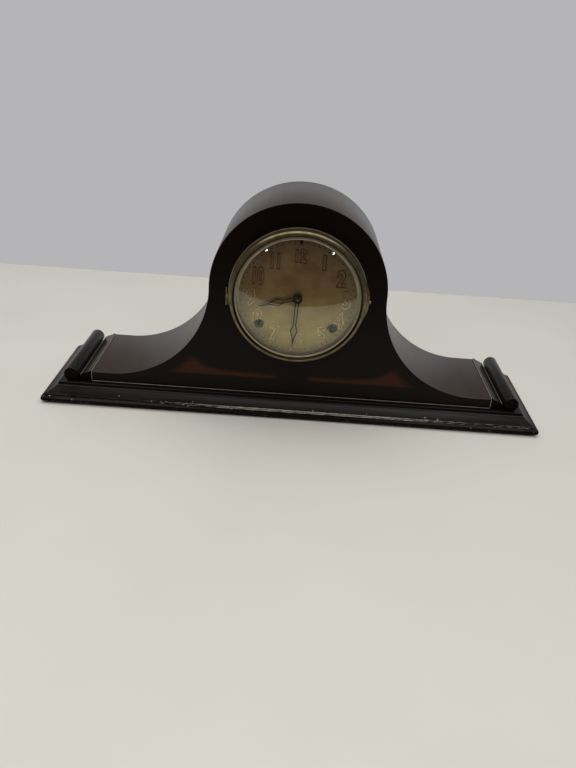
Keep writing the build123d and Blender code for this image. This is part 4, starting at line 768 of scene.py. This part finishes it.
bm = bmesh.new()
for hour in range(1, 13):
    figure = bpy.data.curves.new("figure", "FONT")
    figure.body = str(hour)
    figure.size = NUMERAL_SIZE
    figure.align_x = "CENTER"
    figure.align_y = "CENTER"
    figure.offset = NUMERAL_BOLD
    figure.fill_mode = "NONE"
    figure.bevel_depth = NUMERAL_RIM
    figure.bevel_resolution = 2
    figure.resolution_u = 6
    drawn = bpy.data.objects.new("figure", figure)
    flat_figure = bpy.data.meshes.new_from_object(drawn)
    bearing = radians(30 * hour) + DIAL_TURN
    stretch = 1 + SIDE_NUMERAL_STRETCH * abs(sin(bearing))
    narrow = NUMERAL_NARROW if hour < 10 else PAIR_NARROW
    at = Vector((NUMERAL_RING[0] + NUMERAL_REACH * sin(bearing), dial_low.y,
                 NUMERAL_RING[1] + dial_z + NUMERAL_RISE * cos(bearing)))
    flat_figure.transform(Matrix.Translation(at) @ Matrix.Rotation(pi / 2, 4, "X")
                          @ Matrix.Diagonal((narrow, stretch, 1, 1)))
    bm.from_mesh(flat_figure)
    bpy.data.objects.remove(drawn)
    bpy.data.curves.remove(figure)
    bpy.data.meshes.remove(flat_figure)
for spot in winding_places:
    pierced = [v for v in bm.verts if hypot(v.co.x - spot.x, v.co.z - spot.z) < WINDING_HOLE]
    bmesh.ops.delete(bm, geom=pierced, context="VERTS")
bmesh.ops.holes_fill(bm, edges=[e for e in bm.edges if e.is_boundary])
numerals = piece("dial_numerals", bm, relief)
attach(numerals, "case")


# The minute track is a ring of sixty dots of black enamel, filled into small punch marks.
# Each dot stands a hair proud of the gilding and tapers a little to its face.
DOT_RADIUS = 0.8 * MM
DOT_TAPER = 0.8
DOT_TRACK = 60.5 * MM
DOT_PROUD = 0.12 * MM
DOT_SEGMENTS = 10

# Black enamel: small dark marks, worn to brown here and there.
enamel = mottled("black_enamel", 3 * MM, 2.0, "#1c1712", "#3a3021", 0.5, 0.5, IOR=1.5)

bm = bmesh.new()
for minute in range(60):
    bearing = radians(6 * minute)
    at = (DOT_TRACK * sin(bearing), dial_low.y - DOT_PROUD / 2, dial_z + DOT_TRACK * cos(bearing))
    bmesh.ops.create_cone(bm, cap_ends=True, segments=DOT_SEGMENTS, radius1=DOT_RADIUS,
                          radius2=DOT_RADIUS * DOT_TAPER, depth=DOT_PROUD,
                          matrix=Matrix.Translation(at) @ Matrix.Rotation(pi / 2, 4, "X"))
dots = piece("minute_dots", bm, enamel)
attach(dots, "case")


# The eyelets are rolled brass rings that line the two winding holes in the dial.
# Each is pressed into its hole and turned over at the front to a half-round lip.
EYELET_WIDTH = 0.9 * MM
EYELET_PROUD = 0.5 * MM
EYELET_STEPS = 8
EYELET_SEGMENTS = 48


def turned(bm, profile, x=0.0, z=dial_z, steps=160):
    """Spin a closed profile of radius and depth points round a line from front to back."""
    verts = [bm.verts.new((x + radius, y, z)) for radius, y in profile]
    edges = [bm.edges.new(pair) for pair in zip(verts, verts[1:] + verts[:1])]
    bmesh.ops.spin(bm, geom=verts + edges, cent=(x, 0, z), axis=(0, 1, 0), angle=2 * pi, steps=steps,
                   use_merge=True)


bm = bmesh.new()
for spot in winding_places:
    section = [(WINDING_HOLE, dial_low.y)]
    section += arc(section[0], (WINDING_HOLE + EYELET_WIDTH / 2, dial_low.y - EYELET_PROUD),
                   (WINDING_HOLE + EYELET_WIDTH, dial_low.y), EYELET_STEPS)
    turned(bm, section, spot.x, spot.z, EYELET_SEGMENTS)
eyelets = piece("winding_eyelets", bm, aged_brass)
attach(eyelets, "case")


# The hands are stamped from thin steel, each pierced to a slim diamond, and blued by heat.
# The hour hand is pressed on its pipe, and a nut holds the minute hand on the centre arbor.
# Blued steel: almost black, with a brown cast and a dull sheen.
blued = mottled("blued_steel", 6 * MM, 3.0, "#0d0a0c", "#1e140f", 0.35, 0.5, Metallic=0.3)
dress(blued, "hour_hand", "minute_hand", "hand_nut")


# The bezel is a spun brass ring: a round band, a groove and a thin lip that the glass sits behind.
# It is hinged at nine o'clock and opens to wind the clock or set the hands.
BEZEL_WALL = 6.6 * MM
BEZEL_OUTER_ROUND = 3.5 * MM
BEZEL_OUTER_STEPS = 10
BEZEL_INNER_ROUND = 2.0 * MM
BEZEL_INNER_STEPS = 8
BEZEL_LIP_REACH = 1.4 * MM
BEZEL_LIP = 1.0 * MM
QUARTER = sin(pi / 4)
ring_low, ring_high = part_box("bezel_ring")
outer = (ring_high.z - ring_low.z) / 2
crest = outer - BEZEL_OUTER_ROUND
inner = outer - BEZEL_WALL
lip = inner - BEZEL_LIP_REACH

# Spun brass: the same olive gold, darker from the groove inwards, with a pale painted highlight on
# the lip.
GROOVE_DARKER = crest, crest - 1.0 * MM
LIP_PAINTED_HIGHLIGHT = inner + 0.7 * MM, inner + 0.1 * MM
spun, tree, shader, place = new_finish("spun_brass", Metallic=0.9)
tarnish = tarnished(tree, place)
from_middle = distance(tree, stretched(tree, place, FLAT), (0, 0, dial_z))
colour = blend(tree, tarnish, "#8a7f5f", "#655a40")
colour = blend(tree, ramp(tree, from_middle, *GROOVE_DARKER), colour, "#2b2115")
colour = blend(tree, ramp(tree, from_middle, *LIP_PAINTED_HIGHLIGHT), colour, "#aca38c")
coat(tree, shader, colour, tarnish, 0.28, 0.42)

section = [(outer, ring_high.y), (outer, ring_low.y + BEZEL_OUTER_ROUND)]
middle = (outer - BEZEL_OUTER_ROUND * (1 - QUARTER), ring_low.y + BEZEL_OUTER_ROUND * (1 - QUARTER))
section += arc(section[-1], middle, (crest, ring_low.y), BEZEL_OUTER_STEPS)
middle = (crest - BEZEL_INNER_ROUND * QUARTER, ring_low.y + BEZEL_INNER_ROUND * (1 - QUARTER))
section += arc(section[-1], middle, (crest - BEZEL_INNER_ROUND, ring_low.y + BEZEL_INNER_ROUND),
               BEZEL_INNER_STEPS)
section += [(lip, section[-1][1]), (lip, section[-1][1] + BEZEL_LIP)]
section += [(inner, section[-1][1]), (inner, ring_high.y)]
bm = bmesh.new()
turned(bm, section)
bezel = piece("bezel_ring_spun", bm, spun)
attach(bezel, "bezel")
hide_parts("bezel_ring")


# The pull is a lug of the same brass soldered behind the bezel at three o'clock, tapered to nothing
# at both ends, with a short turned knob for a fingernail.
PULL_SPAN = radians(20)
PULL_REACH = 3.3 * MM
PULL_STEPS = 16
PULL_SHEET = 1.0 * MM
PULL_ROUND = PULL_SHEET * 0.3
PULL_KNOB = 2.1 * MM
PULL_KNOB_TIP = 1.5 * MM
PULL_KNOB_REACH = 3.0 * MM
PULL_KNOB_SEGMENTS = 24
heel_radius = outer - BEZEL_WALL / 2
heel = [(heel_radius * cos(PULL_SPAN * turn), heel_radius * sin(PULL_SPAN * turn))
        for turn in (1, 0.5, 0, -0.5, -1)]
rim = arc((outer * cos(PULL_SPAN), -outer * sin(PULL_SPAN)), (outer + PULL_REACH, 0.0),
          (outer * cos(PULL_SPAN), outer * sin(PULL_SPAN)), PULL_STEPS)
bm = bmesh.new()
lug = bm.faces.new([bm.verts.new((x, ring_high.y - PULL_SHEET, dial_z + z)) for x, z in heel + rim])
extruded(bm, [lug], (0, PULL_SHEET, 0))
at = (outer + PULL_REACH + PULL_KNOB_REACH / 2 - PULL_SHEET, ring_high.y - PULL_SHEET / 2, dial_z)
bmesh.ops.create_cone(bm, cap_ends=True, segments=PULL_KNOB_SEGMENTS, radius1=PULL_KNOB,
                      radius2=PULL_KNOB_TIP, depth=PULL_KNOB_REACH,
                      matrix=Matrix.Translation(at) @ Matrix.Rotation(pi / 2, 4, "Y"))
soften(bm, PULL_ROUND)
pull = piece("bezel_pull_lug", bm, aged_brass)
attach(pull, "bezel")
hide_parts("bezel_pull")


# The glass is a thin pressed dome with a ground edge, bulging towards the front.
# It lies behind the lip of the bezel, where the sight ring holds it.
GLASS = 1.6 * MM
GLASS_SAGITTA = 14.0 * MM
GLASS_STEPS = 40
glass_low, glass_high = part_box("bezel_glass")
glass_radius = (glass_high.x - glass_low.x) / 2
apex = glass_low.y

# Clear glass: shows the dial through it, and mirrors the table and the room faintly.
MIRRORED_LEAST = 0.05
GLANCING_POWER = 5.0
FILM = 30 * MM
FILM_HAZE = 0.01, 0.05
crystal, tree, shader, place = new_finish("clear_glass")
tree.nodes.remove(shader)
facing = add(tree, "ShaderNodeLayerWeight", {"Blend": 0.5}).outputs["Facing"]
mirrored = ramp(tree, reckon(tree, "POWER", facing, GLANCING_POWER), 0.0, 1.0, MIRRORED_LEAST)
haze = ramp(tree, noise(tree, place, FILM, 3.0), 0.0, 1.0, *FILM_HAZE)
through = add(tree, "ShaderNodeBsdfTransparent", {"Color": linear("#f6f7f4")})
gloss = add(tree, "ShaderNodeBsdfGlossy", {"Color": linear("#ffffff"), "Roughness": haze})
both = add(tree, "ShaderNodeMixShader", {0: mirrored, 1: through.outputs[0], 2: gloss.outputs[0]})
tree.links.new(both.outputs[0], tree.nodes["Material Output"].inputs["Surface"])


def dome(front, edge):
    """Points of a dome's half section, from the edge in to the middle."""
    points = arc((-glass_radius, edge), (0.0, front), (glass_radius, edge), 2 * GLASS_STEPS)
    return [(abs(x), y) for x, y in reversed(points[GLASS_STEPS - 1:])]


bm = bmesh.new()
outside = dome(apex, apex + GLASS_SAGITTA)
inside = dome(apex + GLASS, apex + GLASS_SAGITTA + GLASS)
turned(bm, outside + inside[::-1])
glass = piece("bezel_glass_domed", bm, crystal)
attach(glass, "bezel")
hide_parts("bezel_glass")


# The sight ring is a sprung cone of silvered brass that holds the glass in from behind.
# It slopes in from the bezel to the edge of the dial.
SIGHT_RADIUS = 63.6 * MM
SIGHT_SHEET = 0.3 * MM
SIGHT_AIR = 0.3 * MM
sight_low, sight_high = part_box("glass_retainer")
sight_outer = (sight_high.z - sight_low.z) / 2
foot = dial_low.y - SIGHT_AIR

# Dulled silvering: a warm greenish grey, cloudy, that mirrors only broad light and dark.
silvered = mottled("dulled_silvering", 8 * MM, 5.0, "#d6cdb8", "#a69c86", 0.3, 0.45, Metallic=1.0)

bm = bmesh.new()
turned(bm, [(sight_outer, sight_low.y), (sight_outer - SIGHT_SHEET, sight_low.y),
            (SIGHT_RADIUS, foot - SIGHT_SHEET), (SIGHT_RADIUS, foot), (sight_outer, sight_high.y)])
sight = piece("sight_ring", bm, silvered)
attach(sight, "bezel")
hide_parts("glass_retainer")


# The movement is a stamped brass plate-and-pillar spring train with steel arbors, out of sight.
# It hangs on posts behind the front board, beside the glue blocks, the gong and its iron block.
# Sheet brass: clean rolled yellow brass, a little clouded, with a soft shine.
sheet_brass = mottled("sheet_brass", 14 * MM, 5.0, "#c9a659", "#9c7d3f", 0.28, 0.42, Metallic=1.0)

# Oiled steel: bright grey, with a film of oil that dulls it in patches.
steel = mottled("oiled_steel", 5 * MM, 4.0, "#8b8c8e", "#66645f", 0.25, 0.4, Metallic=1.0)

# Painted cast iron: dull black paint over a pitted skin.
iron = mottled("painted_cast_iron", 1.2 * MM, 3.0, "#141414", "#2b2a29", 0.5, 0.75, IOR=1.45)

# Raw pine: pale yellow-brown with soft brown growth lines, unfinished.
GROWTH = 26 * MM
pine, tree, shader, place = new_finish("raw_pine", IOR=1.4)
lines = add(tree, "ShaderNodeTexWave", {"Vector": place, "Scale": 1 / GROWTH, "Distortion": 3.0},
            bands_direction="Z").outputs["Fac"]
coat(tree, shader, blend(tree, lines, "#b48a5a", "#94683d"), lines, 0.65, 0.8)

finishes = {"movement_brass": sheet_brass, "steel": steel, "cast_iron": iron, "raw_pine": pine}
for part in frame["record"]["subparts"]:
    if part["material_slot"] in finishes:
        dress(finishes[part["material_slot"]], part["node"])
# The arbors take the near-black blued finish, a painted shade that keeps the holes in the dial dark.
dress(blued, "time_winding_arbor", "strike_winding_arbor", "regulator_arbor")
